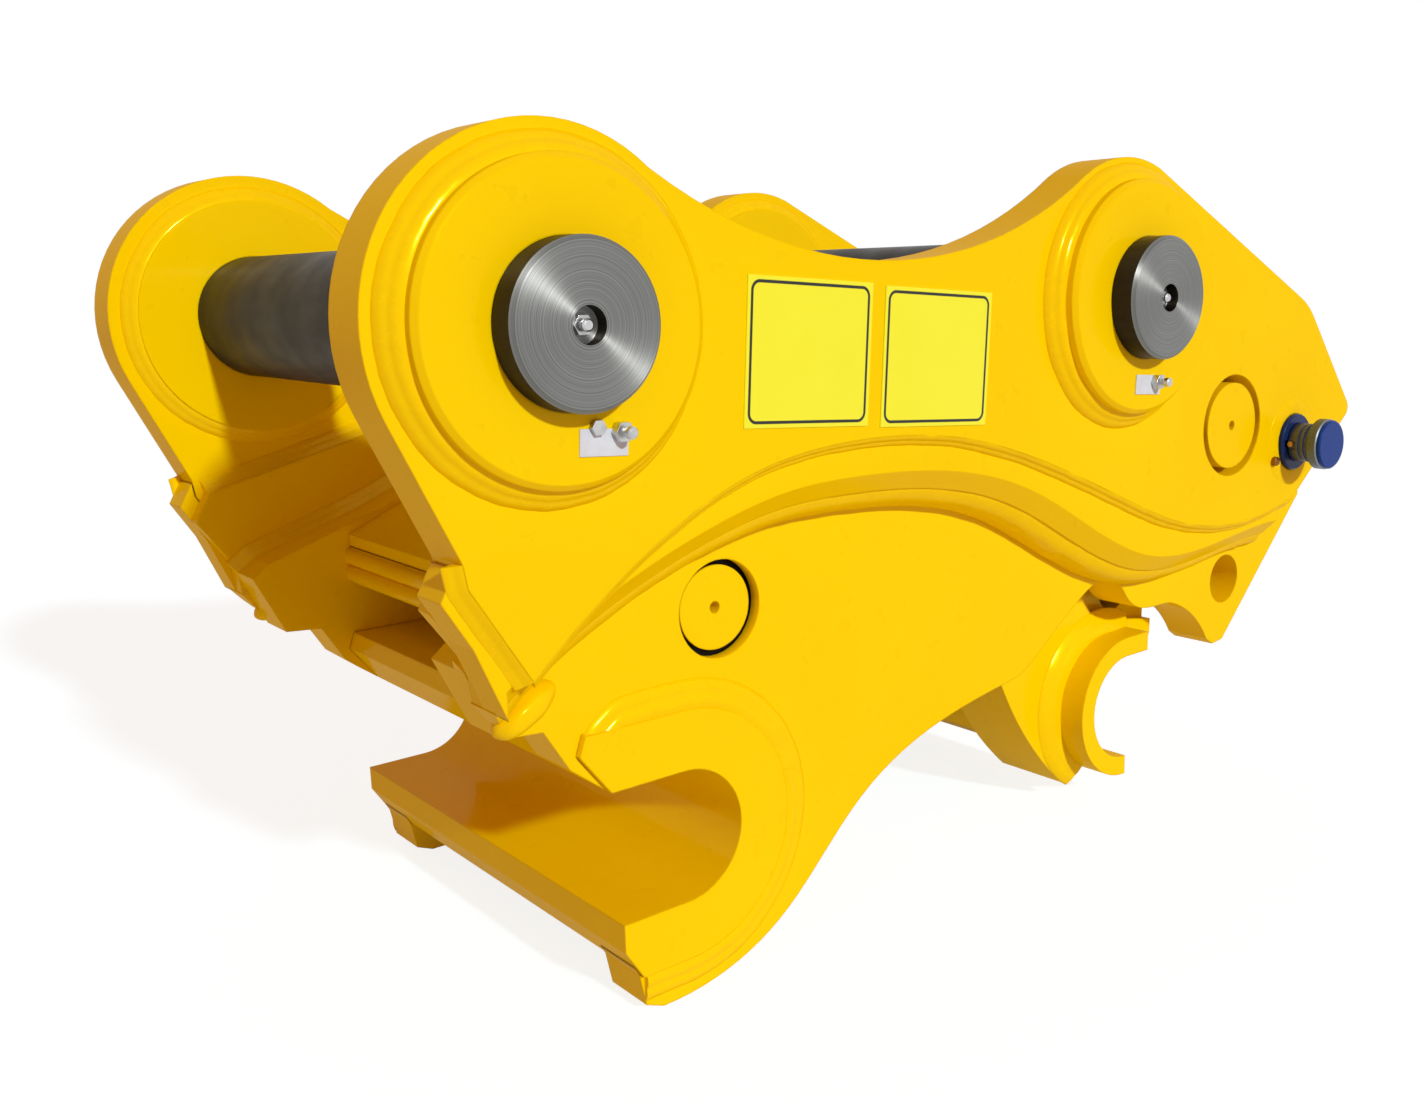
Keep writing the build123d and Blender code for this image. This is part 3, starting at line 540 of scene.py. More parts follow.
def enamel(name, colour, deep, roughness, peel, cut_lines=1.0, edge_radius=1.6 * MM, shine=0.0):
    """Gloss enamel over steel plate."""
    material, tree, shader, coords = start_material(name)
    group = tree.nodes.new("ShaderNodeGroup")
    group.node_tree = shared_group("enamel_on_plate")
    set_in(group, Colour=colour, Deep_Colour=deep, Roughness=roughness, Cut_Lines=cut_lines)
    tree.links.new(coords.outputs["Object"], group.inputs["Position"])
    tree.links.new(coords.outputs["Normal"], group.inputs["Direction"])
    tree.links.new(group.outputs["Colour"], shader.inputs["Base Color"])
    tree.links.new(group.outputs["Roughness"], shader.inputs["Roughness"])
    tinge = tuple(0.35 + 0.65 * c for c in colour[:3]) + (1.0,)
    set_in(shader, Specular_IOR_Level=shine, Specular_Tint=tinge, Metallic=ENAMEL_METALLIC)
    set_in(shader, Coat_Weight=ENAMEL_COAT, Coat_Roughness=ENAMEL_COAT_ROUGHNESS)
    add_bump(tree, shader, group.outputs["Height"], peel * MM, 1.0, edge_radius)
    return material


def bare_and_shaded_gap(material, centre, radii, face, steel):
    """Leaves dark bare steel between two radii round a side view centre, from the middle up to a face;
    deep in the gap this dark steel is also painted shade.
    """
    tree = material.node_tree
    shader = next(n for n in tree.nodes if n.type == "BSDF_PRINCIPLED")
    coords = next(n for n in tree.nodes if n.type == "TEX_COORD")
    painted = shader.inputs["Base Color"].links[0].from_socket
    x, y, z = add_split(tree, coords.outputs["Object"])
    along = add_maths(tree, "SUBTRACT", x, centre[0] * MM)
    up = add_maths(tree, "SUBTRACT", z, centre[1] * MM)
    reach = add_reach(tree, along, up)
    inside = add_range(tree, reach, (radii[1] + SOFT_EDGE) * MM, (radii[1] - SOFT_EDGE) * MM)
    outside = add_range(tree, reach, (radii[0] - SOFT_EDGE) * MM, (radii[0] + SOFT_EDGE) * MM)
    below = add_range(tree, add_maths(tree, "ABSOLUTE", y), (face + 0.4) * MM, (face - 0.4) * MM)
    # Painted shade: where the gap lies deeper than the face, its dark bare steel stands in for the shade
    # that falls there.
    bare_and_shade = add_maths(tree, "MULTIPLY", add_maths(tree, "MULTIPLY", inside, outside), below)
    tree.links.new(add_mix(tree, bare_and_shade, painted, steel), shader.inputs["Base Color"])
    return material


def turned_steel(name, centre, bright, dark, pitch=900.0, anisotropic=0.0, shine=0.2):
    """Turned or drawn steel round an axis along y through a side view centre in millimetres."""
    material, tree, shader, coords = start_material(name)
    place = tree.nodes.new("ShaderNodeMapping")
    place.inputs["Location"].default_value = (-centre[0] * MM, 0.0, -centre[1] * MM)
    tree.links.new(coords.outputs["Object"], place.inputs["Vector"])
    group = tree.nodes.new("ShaderNodeGroup")
    group.node_tree = shared_group("turned_steel")
    set_in(group, Bright=bright, Dark=dark, Ring_Pitch=pitch)
    tree.links.new(place.outputs[0], group.inputs["Position"])
    tree.links.new(coords.outputs["Normal"], group.inputs["Direction"])
    tree.links.new(group.outputs["Colour"], shader.inputs["Base Color"])
    tree.links.new(group.outputs["Roughness"], shader.inputs["Roughness"])
    set_in(shader, Metallic=1.0, Specular_IOR_Level=shine)
    set_in(shader, Anisotropic=anisotropic, Anisotropic_Rotation=0.25)
    if anisotropic:
        tangent = tree.nodes.new("ShaderNodeTangent")
        tangent.direction_type = "RADIAL"
        tangent.axis = "Y"
        tree.links.new(tangent.outputs[0], shader.inputs["Tangent"])
    add_bump(tree, shader, group.outputs["Height"], 0.03 * MM, 1.0, 0.8 * MM)
    return material


def cast_metal(name, colour, dark, roughness, grain=120.0, metallic=1.0):
    """Plain machined, plated or oiled metal with fine grain and stains."""
    material, tree, shader, coords = start_material(name)
    fine = add_noise(tree, coords.outputs["Object"], grain * 6.0, 4.0)
    stain = add_noise(tree, coords.outputs["Object"], grain * 0.5, 5.0, 0.6)
    mixed = add_mix(tree, add_range(tree, stain, 0.4, 0.7, 0.0, 0.6), colour, dark)
    tree.links.new(mixed, shader.inputs["Base Color"])
    rough = add_range(tree, stain, 0.3, 0.8, roughness - 0.06, roughness + 0.12)
    tree.links.new(rough, shader.inputs["Roughness"])
    set_in(shader, Metallic=metallic)
    add_bump(tree, shader, fine, 0.04 * MM, 0.7, 0.4 * MM)
    return material


def label_film(name, corner, ground, line):
    """Bare film with a thin frame line near its edge, for the label plate with this upper corner."""
    material, tree, shader, coords = start_material(name)
    turn = math.radians(LABEL_TILT)
    middle = Vector((LABEL_SIZE[0] / 2, -LABEL_SIZE[1] / 2))
    x = corner[0] + middle.x * math.cos(turn) - middle.y * math.sin(turn)
    z = corner[1] + middle.x * math.sin(turn) + middle.y * math.cos(turn)
    shift = tree.nodes.new("ShaderNodeMapping")
    shift.vector_type = "TEXTURE"
    shift.inputs["Location"].default_value = (x * MM, 0.0, z * MM)
    shift.inputs["Rotation"].default_value = (0.0, -turn, 0.0)
    tree.links.new(coords.outputs["Object"], shift.inputs["Vector"])
    parts = add_split(tree, shift.outputs[0])
    half_width, half_height = (side / 2 - LABEL_MARGIN - LABEL_ROUNDING for side in LABEL_SIZE)
    across = add_excess(tree, parts[0], half_width * MM)
    up = add_excess(tree, parts[2], half_height * MM)
    past_line = add_maths(tree, "SUBTRACT", add_reach(tree, across, up), LABEL_ROUNDING * MM)
    off_line = add_maths(tree, "ABSOLUTE", past_line)
    on_line = add_range(tree, off_line, (LABEL_LINE + SOFT_EDGE) * MM, (LABEL_LINE - SOFT_EDGE) * MM)
    print_noise = add_noise(tree, coords.outputs["Object"], 900.0, 3.0)
    shade = add_noise(tree, coords.outputs["Object"], 30.0, 4.0)
    faded = (ground[0] * 0.8, ground[1] * 0.75, ground[2], 1)
    film = add_mix(tree, add_range(tree, shade, 0.3, 0.8, 0.0, 0.12), ground, faded)
    tree.links.new(add_mix(tree, on_line, film, line), shader.inputs["Base Color"])
    tree.links.new(add_range(tree, shade, 0.3, 0.8, 0.3, 0.42), shader.inputs["Roughness"])
    add_bump(tree, shader, print_noise, 0.01 * MM, 0.6)
    return material


# Weld beads by geometry nodes

def bead_section(along, up, crown, ridge=0.0, passes=2):
    """Section of a bead in its corner, in millimetres: along the plate and up the wall,
    with one crown over all of it and a ridge for each pass."""
    points = [(-BEAD_SINK[0], -BEAD_SINK[1]), (along, -BEAD_SINK[1])]
    count = 4 + 4 * passes
    reach = math.hypot(along, up)
    for i in range(count + 1):
        t = i / count
        bulge = crown * math.sin(math.pi * t) + ridge * abs(math.sin(passes * math.pi * t))
        points.append((along * (1 - t) + bulge * up / reach, up * t + bulge * along / reach))
    points.append((-BEAD_SINK[0], up))
    return points


def rib_section(foot, width, rise):
    """Section of a rib on a flat plate, in millimetres: half an oval on a foot, by their half widths."""
    angles = [math.radians(a) for a in range(0, 181, 20)]
    oval = [(width * math.cos(a), rise * math.sin(a)) for a in angles]
    return [(-foot, -BEAD_SINK[1]), (foot, -BEAD_SINK[1])] + oval


def flat_line(name, points, closed):
    """Mesh of edges along flat points in millimetres."""
    count = len(points)
    edges = [(i, i + 1) for i in range(count - 1)]
    if closed:
        edges.append((count - 1, 0))
    mesh = bpy.data.meshes.new(name)
    mesh.from_pydata([(u * MM, v * MM, 0) for u, v in points], edges, [])
    return mesh


def section_object(name, points):
    """Closed mesh outline for Curve to Mesh."""
    return bpy.data.objects.new(name, flat_line(name, points, True))


def make_bead_tree():
    """Bead along a flat line: a section swept on it, then ripples and an uneven hand."""
    tree = bpy.data.node_groups.new("weld_bead", "GeometryNodeTree")
    face = tree.interface
    face.new_socket("Geometry", in_out="INPUT", socket_type="NodeSocketGeometry")
    for label, kind, value in (
            ("Section", "NodeSocketObject", None), ("Step", "NodeSocketFloat", BEAD_STEP * MM),
            ("Ripple Pitch", "NodeSocketFloat", 4.2 * MM), ("Ripple Depth", "NodeSocketFloat", 0.2 * MM),
            ("Wander", "NodeSocketFloat", 1.0 * MM), ("Seed", "NodeSocketInt", 7),
            ("Finish", "NodeSocketMaterial", None)):
        socket = face.new_socket(label, in_out="INPUT", socket_type=kind)
        if value is not None:
            socket.default_value = value
    face.new_socket("Geometry", in_out="OUTPUT", socket_type="NodeSocketGeometry")
    new = tree.nodes.new
    link = tree.links.new
    start = new("NodeGroupInput")
    end = new("NodeGroupOutput")
    line = new("GeometryNodeMeshToCurve")
    link(start.outputs["Geometry"], line.inputs["Mesh"])
    steps = new("GeometryNodeResampleCurve")
    steps.mode = "LENGTH"
    link(line.outputs[0], steps.inputs["Curve"])
    link(start.outputs["Step"], steps.inputs["Length"])
    reach = new("GeometryNodeSplineParameter")
    keep = new("GeometryNodeCaptureAttribute")
    keep.capture_items.new("FLOAT", "Reach")
    link(steps.outputs[0], keep.inputs["Geometry"])
    link(reach.outputs["Length"], keep.inputs["Reach"])
    upright = new("GeometryNodeSetCurveNormal")
    upright.mode = "Z_UP"
    link(keep.outputs["Geometry"], upright.inputs["Curve"])
    pick = new("GeometryNodeObjectInfo")
    link(start.outputs["Section"], pick.inputs["Object"])
    outline = new("GeometryNodeMeshToCurve")
    link(pick.outputs["Geometry"], outline.inputs["Mesh"])
    sweep = new("GeometryNodeCurveToMesh")
    sweep.inputs["Fill Caps"].default_value = True
    link(upright.outputs[0], sweep.inputs["Curve"])
    link(outline.outputs[0], sweep.inputs["Profile Curve"])
    phase = add_maths(tree, "DIVIDE", keep.outputs["Reach"], start.outputs["Ripple Pitch"])
    place = new("GeometryNodeInputPosition")
    height = add_split(tree, place.outputs[0])[2]
    bow = add_maths(tree, "MULTIPLY_ADD", height, RIPPLE_BOW, phase)
    wave = add_maths(tree, "SINE", add_maths(tree, "MULTIPLY", bow, math.pi))
    crest = add_maths(tree, "ABSOLUTE", wave)
    ripple = add_maths(tree, "MULTIPLY", crest, start.outputs["Ripple Depth"])
    hand = new("ShaderNodeTexNoise")
    hand.noise_dimensions = "4D"
    set_in(hand, Scale=34.0, Detail=3.0)
    link(place.outputs[0], hand.inputs["Vector"])
    link(start.outputs["Seed"], hand.inputs["W"])
    centred = add_maths(tree, "SUBTRACT", hand.outputs[0], 0.5)
    uneven = add_maths(tree, "MULTIPLY_ADD", centred, start.outputs["Wander"], ripple)
    normal = new("GeometryNodeInputNormal")
    push = new("ShaderNodeVectorMath")
    push.operation = "SCALE"
    link(normal.outputs[0], push.inputs[0])
    link(uneven, push.inputs["Scale"])
    move = new("GeometryNodeSetPosition")
    link(sweep.outputs[0], move.inputs["Geometry"])
    link(push.outputs[0], move.inputs["Offset"])
    whole = new("GeometryNodeRealizeInstances")
    link(move.outputs[0], whole.inputs[0])
    finish = new("GeometryNodeSetMaterial")
    link(whole.outputs[0], finish.inputs["Geometry"])
    link(start.outputs["Finish"], finish.inputs["Material"])
    link(finish.outputs[0], end.inputs["Geometry"])
    return tree


def socket_id(tree, label):
    """Identifier of a tree's input, by its name."""
    for item in tree.interface.items_tree:
        if item.item_type == "SOCKET" and item.in_out == "INPUT" and item.name == label:
            return item.identifier
    raise KeyError(label)


def swept_bead(tree, points, section, closed, settings, finish):
    """Plain mesh of one bead along flat points in millimetres."""
    line = bpy.data.objects.new("bead_line", flat_line("bead_line", points, closed))
    bpy.context.scene.collection.objects.link(line)
    modifier = line.modifiers.new("bead", "NODES")
    modifier.node_group = tree
    values = {
        "Section": section, "Ripple Pitch": settings.ripple_pitch * MM,
        "Ripple Depth": settings.ripple_depth * MM, "Wander": settings.wander * MM,
        "Seed": settings.seed, "Finish": finish,
    }
    for label, value in values.items():
        modifier[socket_id(tree, label)] = value
    bpy.context.view_layer.update()
    depsgraph = bpy.context.evaluated_depsgraph_get()
    result = bpy.data.meshes.new_from_object(line.evaluated_get(depsgraph))
    line.modifiers.remove(modifier)
    bpy.data.objects.remove(line)
    return result


def plane_to_side(base, side):
    """Matrix from the flat bead plane to the side view plane at this distance from the middle.
    side is -1 on the left and 1 on the right; base is the plate face. The sweep lays a section's
    height towards -z, so z is turned over here and the bead rises outwards."""
    return Matrix(((1, 0, 0, 0), (0, 0, -side, side * base * MM), (0, 1, 0, 0), (0, 0, 0, 1)))


def join_meshes(name, meshes, finish):
    """One object from several placed meshes, with faces pointing outwards."""
    joined = bmesh.new()
    for mesh, matrix in meshes:
        part = bmesh.new()
        part.from_mesh(mesh)
        bmesh.ops.transform(part, matrix=matrix, verts=part.verts)
        bmesh.ops.recalc_face_normals(part, faces=part.faces)
        placed = bpy.data.meshes.new("placed")
        part.to_mesh(placed)
        part.free()
        joined.from_mesh(placed)
        bpy.data.meshes.remove(placed)
    for face in joined.faces:
        face.smooth = True
    mesh = bpy.data.meshes.new(name)
    joined.to_mesh(mesh)
    joined.free()
    mesh.materials.append(finish)
    target = bpy.data.objects.new(name, mesh)
    bpy.context.scene.collection.objects.link(target)
    return target


def weld_lump(radii, seed):
    """Uneven round lump where a bead ends, with its half sizes in millimetres."""
    lump = bmesh.new()
    bmesh.ops.create_icosphere(lump, subdivisions=4, radius=1.0)
    for vertex in lump.verts:
        swell = 1.0 + 0.09 * noise.noise(vertex.co * 1.6 + Vector((seed, 0.0, 0.0)))
        vertex.co = Vector([c * swell * r * MM for c, r in zip(vertex.co, radii)])
    mesh = bpy.data.meshes.new("weld_lump")
    lump.to_mesh(mesh)
    lump.free()
    return mesh


def run_back(points):
    """The same line run the other way, which puts the bead on its other side."""
    return list(reversed(points))


def mesh_of_rings(name, points, around):
    """Closed mesh over rings with as many points each, listed ring after ring, faces outwards."""
    faces = []
    for low in range(0, len(points) - around, around):
        for i in range(around):
            j = (i + 1) % around
            faces.append((low + i, low + j, low + around + j, low + around + i))
    faces.append(tuple(range(around)))
    faces.append(tuple(reversed(range(len(points) - around, len(points)))))
    mesh = bpy.data.meshes.new(name)
    mesh.from_pydata(points, [], faces)
    fixed = bmesh.new()
    fixed.from_mesh(mesh)
    bmesh.ops.recalc_face_normals(fixed, faces=fixed.faces)
    fixed.to_mesh(mesh)
    fixed.free()
    return mesh


# Operators

class COUPLER_OT_stage(bpy.types.Operator):
    """Sets the camera, the pale floor and the lamps"""
    bl_idname = "coupler.stage"
    bl_label = "Stage and camera"

    def execute(self, context):
        settings = context.scene.coupler_stage
        scene = context.scene
        scene.view_settings.view_transform = "Standard"
        data = bpy.data.cameras.new("camera")
        data.sensor_width = 36.0
        data.lens = settings.lens
        data.shift_x, data.shift_y = CAMERA_SHIFT
        data.clip_end = 50.0
        camera = bpy.data.objects.new("camera", data)
        right = Vector(CAMERA_RIGHT).normalized()
        forward = Vector(CAMERA_FORWARD).normalized()
        up = right.cross(forward).normalized()
        right = forward.cross(up).normalized()
        turn = Matrix((right, up, -forward)).transposed().to_4x4()
        camera.matrix_world = Matrix.Translation(CAMERA_PLACE) @ turn
        scene.collection.objects.link(camera)
        scene.camera = camera
        self.add_floor(scene, settings)
        self.add_lamps(scene, settings)
        return {"FINISHED"}

    def add_floor(self, scene, settings):
        """Pale floor that stays white to the eye and in reflections, apart from the object's shadow."""
        mesh = bpy.data.meshes.new("floor")
        size = FLOOR_HALF_SIZE
        lowest = CAD_BOX[0][2] - FLOOR_GAP
        square = ((-size, -size), (size, -size), (size, size), (-size, size))
        mesh.from_pydata([(x, y, lowest) for x, y in square], [], [(0, 1, 2, 3)])
        floor = bpy.data.objects.new("floor", mesh)
        material, tree, shader, coords = start_material("floor_paper")
        set_in(shader, Roughness=0.9, Specular_IOR_Level=0.0)
        tint = add_noise(tree, coords.outputs["Object"], 3.0, 3.0)
        grey = linear((0.92, 0.92, 0.91))
        paper = add_mix(tree, add_range(tree, tint, 0.3, 0.7), linear(settings.floor), grey)
        tree.links.new(paper, shader.inputs["Base Color"])
        shade = tree.nodes.new("ShaderNodeBsdfDiffuse")
        shade.inputs["Color"].default_value = FLOOR_SHADE
        white = tree.nodes.new("ShaderNodeEmission")
        white.inputs["Strength"].default_value = FLOOR_WHITE
        both = tree.nodes.new("ShaderNodeAddShader")
        tree.links.new(shade.outputs[0], both.inputs[0])
        tree.links.new(white.outputs[0], both.inputs[1])
        mix = tree.nodes.new("ShaderNodeMixShader")
        tree.links.new(seen_directly(tree), mix.inputs[0])
        tree.links.new(shader.outputs[0], mix.inputs[1])
        tree.links.new(both.outputs[0], mix.inputs[2])
        out = next(n for n in tree.nodes if n.type == "OUTPUT_MATERIAL")
        tree.links.new(mix.outputs[0], out.inputs[0])
        mesh.materials.append(material)
        scene.collection.objects.link(floor)

    def add_lamps(self, scene, settings):
        """Distant key light from the near side and even warm light from all sides."""
        data = bpy.data.lights.new("key_light", "SUN")
        data.energy = settings.key_strength
        data.angle = settings.key_spread
        lamp = bpy.data.objects.new("key_light", data)
        lamp.location = (0.2, -2.0, 1.0)
        lamp.rotation_euler = Vector(KEY_DIRECTION).to_track_quat("-Z", "Y").to_euler()
        scene.collection.objects.link(lamp)
        world = bpy.data.worlds.new("studio_sky")
        scene.world = world
        world.use_nodes = True
        tree = world.node_tree
        tree.nodes.clear()
        out = tree.nodes.new("ShaderNodeOutputWorld")
        light = tree.nodes.new("ShaderNodeBackground")
        light.inputs["Color"].default_value = (*settings.sky_colour, 1.0)
        light.inputs["Strength"].default_value = settings.sky
        white = tree.nodes.new("ShaderNodeBackground")
        white.inputs["Color"].default_value = (1.0, 1.0, 1.0, 1.0)
        white.inputs["Strength"].default_value = 1.0
        mix = tree.nodes.new("ShaderNodeMixShader")
        tree.links.new(seen_directly(tree), mix.inputs[0])
        tree.links.new(light.outputs[0], mix.inputs[1])
        tree.links.new(white.outputs[0], mix.inputs[2])
        tree.links.new(mix.outputs[0], out.inputs[0])


class COUPLER_OT_plate_enamel(bpy.types.Operator):
    """Paints the plates, hooks, bosses and painted pins with yellow enamel"""
    bl_idname = "coupler.plate_enamel"
    bl_label = "Plate enamel"

    def execute(self, context):
        paint = context.scene.coupler_paint
        material = yellow_enamel(paint)
        for node, slot in slots_of_nodes().items():
            if slot == "yellow_paint":
                give_material(frame["nodes"][node], material)
        # Dark bare steel in the gap round each anchor pin, partly real bare steel and partly painted
        # shade of that deep gap.
        steel = linear((0.13, 0.11, 0.10))
        for kind, (radii, face) in (("hook_plate", GAP_IN_PLATE), ("anchor_pin", GAP_ON_PIN)):
            material = bare_and_shaded_gap(yellow_enamel(paint, kind + "_enamel"), ANCHOR, radii, face, steel)
            for side in ("_left", "_right"):
                give_material(frame["nodes"][kind + side], material)
        return {"FINISHED"}


class COUPLER_OT_stick_pins(bpy.types.Operator):
    """Gives both stick pins turned ends and dark barrels"""
    bl_idname = "coupler.stick_pins"
    bl_label = "Stick pins"

    def execute(self, context):
        bright = linear((0.57, 0.575, 0.56))
        dark = linear((0.16, 0.13, 0.09))
        for node, centre in (("front_stick_pin", FRONT_PIN), ("rear_stick_pin", REAR_PIN)):
            material = turned_steel(
                node + "_steel", centre, bright, dark, pitch=1400.0, anisotropic=0.9, shine=0.0)
            give_material(frame["nodes"][node], material)
        return {"FINISHED"}


class COUPLER_OT_drive_steel(bpy.types.Operator):
    """Finishes the spindle drive, its bushes, nipples and screws"""
    bl_idname = "coupler.drive_steel"
    bl_label = "Drive and small metal"

    def execute(self, context):
        finishes = {}
        for slot, (colour, dark, roughness, grain) in METALS.items():
            finishes[slot] = cast_metal(slot, linear(colour), linear(dark), roughness, grain)
        for node, slot in slots_of_nodes().items():
            if slot in finishes:
                give_material(frame["nodes"][node], finishes[slot])
        for node, name, bright, dark in (
                ("lock_knob_ring", "knob_ring_steel", (0.60, 0.64, 0.70), (0.38, 0.41, 0.46)),
                ("lock_pin", "lock_pin_steel", (0.66, 0.68, 0.72), (0.36, 0.37, 0.42))):
            give_material(frame["nodes"][node], turned_steel(name, LOCK, linear(bright), linear(dark)))
        return {"FINISHED"}


class COUPLER_OT_knob_blue(bpy.types.Operator):
    """Paints the lock knob and its flange blue"""
    bl_idname = "coupler.knob_blue"
    bl_label = "Lock knob"

    def execute(self, context):
        blue = linear(context.scene.coupler_paint.blue)
        for node, name, share, roughness, shine in (
                ("lock_cap", "blue_enamel", 1.0, 0.28, 0.1),
                ("lock_flange", "dark_blue_enamel", 0.42, 0.34, 0.3)):
            colour = shaded(blue, share)
            material = enamel(
                name, colour, shaded(colour, 0.6), roughness, 0.05,
                cut_lines=0.0, edge_radius=0.6 * MM, shine=shine)
            give_material(frame["nodes"][node], material)
        return {"FINISHED"}


class COUPLER_OT_labels(bpy.types.Operator):
    """Finishes the two bare label plates and the two small tags"""
    bl_idname = "coupler.labels"
    bl_label = "Label plates and tags"

    def execute(self, context):
        ground = linear(context.scene.coupler_paint.label)
        line = linear((0.06, 0.06, 0.05))
        for node, corner in LABEL_CORNERS.items():
            give_material(frame["nodes"][node], label_film(node + "_film", corner, ground, line))
        pale = linear((0.83, 0.885, 0.925))
        shade = linear((0.75, 0.80, 0.84))
        tag = cast_metal("tag_film", pale, shade, 0.38, grain=200.0, metallic=0.0)
        for node in ("front_tag", "rear_tag"):
            give_material(frame["nodes"][node], tag)
        return {"FINISHED"}


class COUPLER_OT_weld_beads(bpy.types.Operator):
    """Lays the weld beads on the plates, bosses and hooks"""
    bl_idname = "coupler.weld_beads"
    bl_label = "Weld beads"

    def execute(self, context):
        weld = context.scene.coupler_weld
        finish = weld_enamel(context.scene.coupler_paint)
        tree = make_bead_tree()
        outlines = {kind: bead_section(*sizes) for kind, sizes in BEAD_SECTIONS.items()}
        outlines["boss"] = bead_section(weld.boss_leg, weld.boss_leg - BOSS_BEAD_DROP, 0.8, 0.6)
        outlines["plate"] = bead_section(weld.plate_leg, PLATE_BEAD_HEIGHT, 0.0, 0.5)
        outlines["cross"] = rib_section(*RIB_SECTION)
        sections = {kind: section_object(kind + "_bead", points) for kind, points in outlines.items()}
        frame_beads = []
        for side in (-1, 1):
            for points, kind, closed, base, inward in self.frame_lines(side):
                mesh = swept_bead(tree, points, sections[kind], closed, weld, finish)
                place = plane_to_side(base, side)
                if inward:
                    place = place @ Matrix.Diagonal((1, 1, -1, 1))
                frame_beads.append((mesh, place))
        on_cross_plate = Matrix(
            ((0, 0, 1, FRONT_CROSS_FACE * MM), (1, 0, 0, 0), (0, 1, 0, 0), (0, 0, 0, 1)))
        for height in RIB_HEIGHTS:
            points = [(-HOOK_INNER, height), (HOOK_INNER, height)]
            mesh = swept_bead(tree, points, sections["cross"], False, weld, finish)
            frame_beads.append((mesh, on_cross_plate))
        turn = Matrix.Rotation(math.radians(-WELD_END_TILT), 4, "Y")
        x, y, z = (c * MM for c in WELD_END_PLACE)
        for side in (-1, 1):
            lump = weld_lump(WELD_END_HALF_SIZES, weld.seed)
            frame_beads.append((lump, Matrix.Translation((x, side * y, z)) @ turn))
        beads = join_meshes("plate_welds", frame_beads, finish)
        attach(beads, "frame")
        hook_beads = []
        for side in (-1, 1):
            for points, kind, closed, base in self.hook_lines():
                mesh = swept_bead(tree, points, sections[kind], closed, weld, finish)
                hook_beads.append((mesh, plane_to_side(base, side)))
        beads = join_meshes("hook_welds", hook_beads, finish)
        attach(beads, "hook")
        for section in sections.values():
            bpy.data.objects.remove(section)
        return {"FINISHED"}

    def frame_lines(self, side):
        """Side view points, section, closed, plate face and inward of each bead on the frame."""
        ear_low = edge_near("ear_plate_left", EAR_OUTER, EAR_LOW)
        ear_front = edge_near("ear_plate_left", EAR_OUTER, EAR_FRONT)
        cheek_low = edge_near("packing_plate_left", HOOK_OUTER, PACKING_LOW)
        ledge = edge_near("hook_plate_left", HOOK_OUTER, HOOK_PLATE_TOP)
        packing = edge_near("packing_plate_left", EAR_INNER, PACKING_TOP)
        saddle = SADDLE_START + round_points(THROAT, SADDLE_RADIUS, 90, -90) + SADDLE_TOE
        front_boss = round_points(FRONT_PIN, BOSS_RADIUS, 0, 352, 8)
        rear_boss = round_points(REAR_PIN, BOSS_RADIUS, 0, 352, 8)
        lines = [
            (front_boss, "boss", True, EAR_OUTER, False),
            (rear_boss, "boss", True, EAR_OUTER, False),
            (front_boss, "inner_boss", True, EAR_INNER, True),
            (rear_boss, "inner_boss", True, EAR_INNER, True),
            (ear_low, "plate", False, CHEEK_OUTER, False),
            (run_back(ear_front), "lug", False, CHEEK_OUTER, False),
            (cheek_low, "cheek", False, HOOK_OUTER, False),
            (run_back(saddle), "saddle", False, HOOK_OUTER, False),
            (run_back(ledge), "inner", False, HOOK_OUTER, True),
            (packing, "inner", False, EAR_INNER, True),
        ]
        if side < 0:
            flange = round_points(LOCK, FLANGE_RADIUS, 0, 345, 15)
            lines.append((flange, "collar", True, EAR_OUTER, False))
        return lines

    def hook_lines(self):
        """The same for the rear hook, where no bead runs inwards."""
        return [(round_points(RING, RING_RADIUS, 62, 240), "ring", False, ARM_OUTER)]


class COUPLER_OT_stop_peg(bpy.types.Operator):
    """Sets the small brass-coloured peg beside the lock's guide bush"""
    bl_idname = "coupler.stop_peg"
    bl_label = "Stop peg"

    def execute(self, context):
        around = 32
        points = []
        for radius, face in PEG_OUTLINE:
            for i in range(around):
                angle = 2 * math.pi * i / around
                x = STOP_PEG[0] + radius * math.cos(angle)
                z = STOP_PEG[1] + radius * math.sin(angle)
                points.append((x * MM, -face * MM, z * MM))
        mesh = mesh_of_rings("lock_stop_peg", points, around)
        brass = cast_metal("peg_brass", linear((0.62, 0.42, 0.16)), linear((0.36, 0.22, 0.08)), 0.36)
        mesh.materials.append(brass)
        peg = bpy.data.objects.new("lock_stop_peg", mesh)
        context.scene.collection.objects.link(peg)
        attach(peg, "frame")
        return {"FINISHED"}


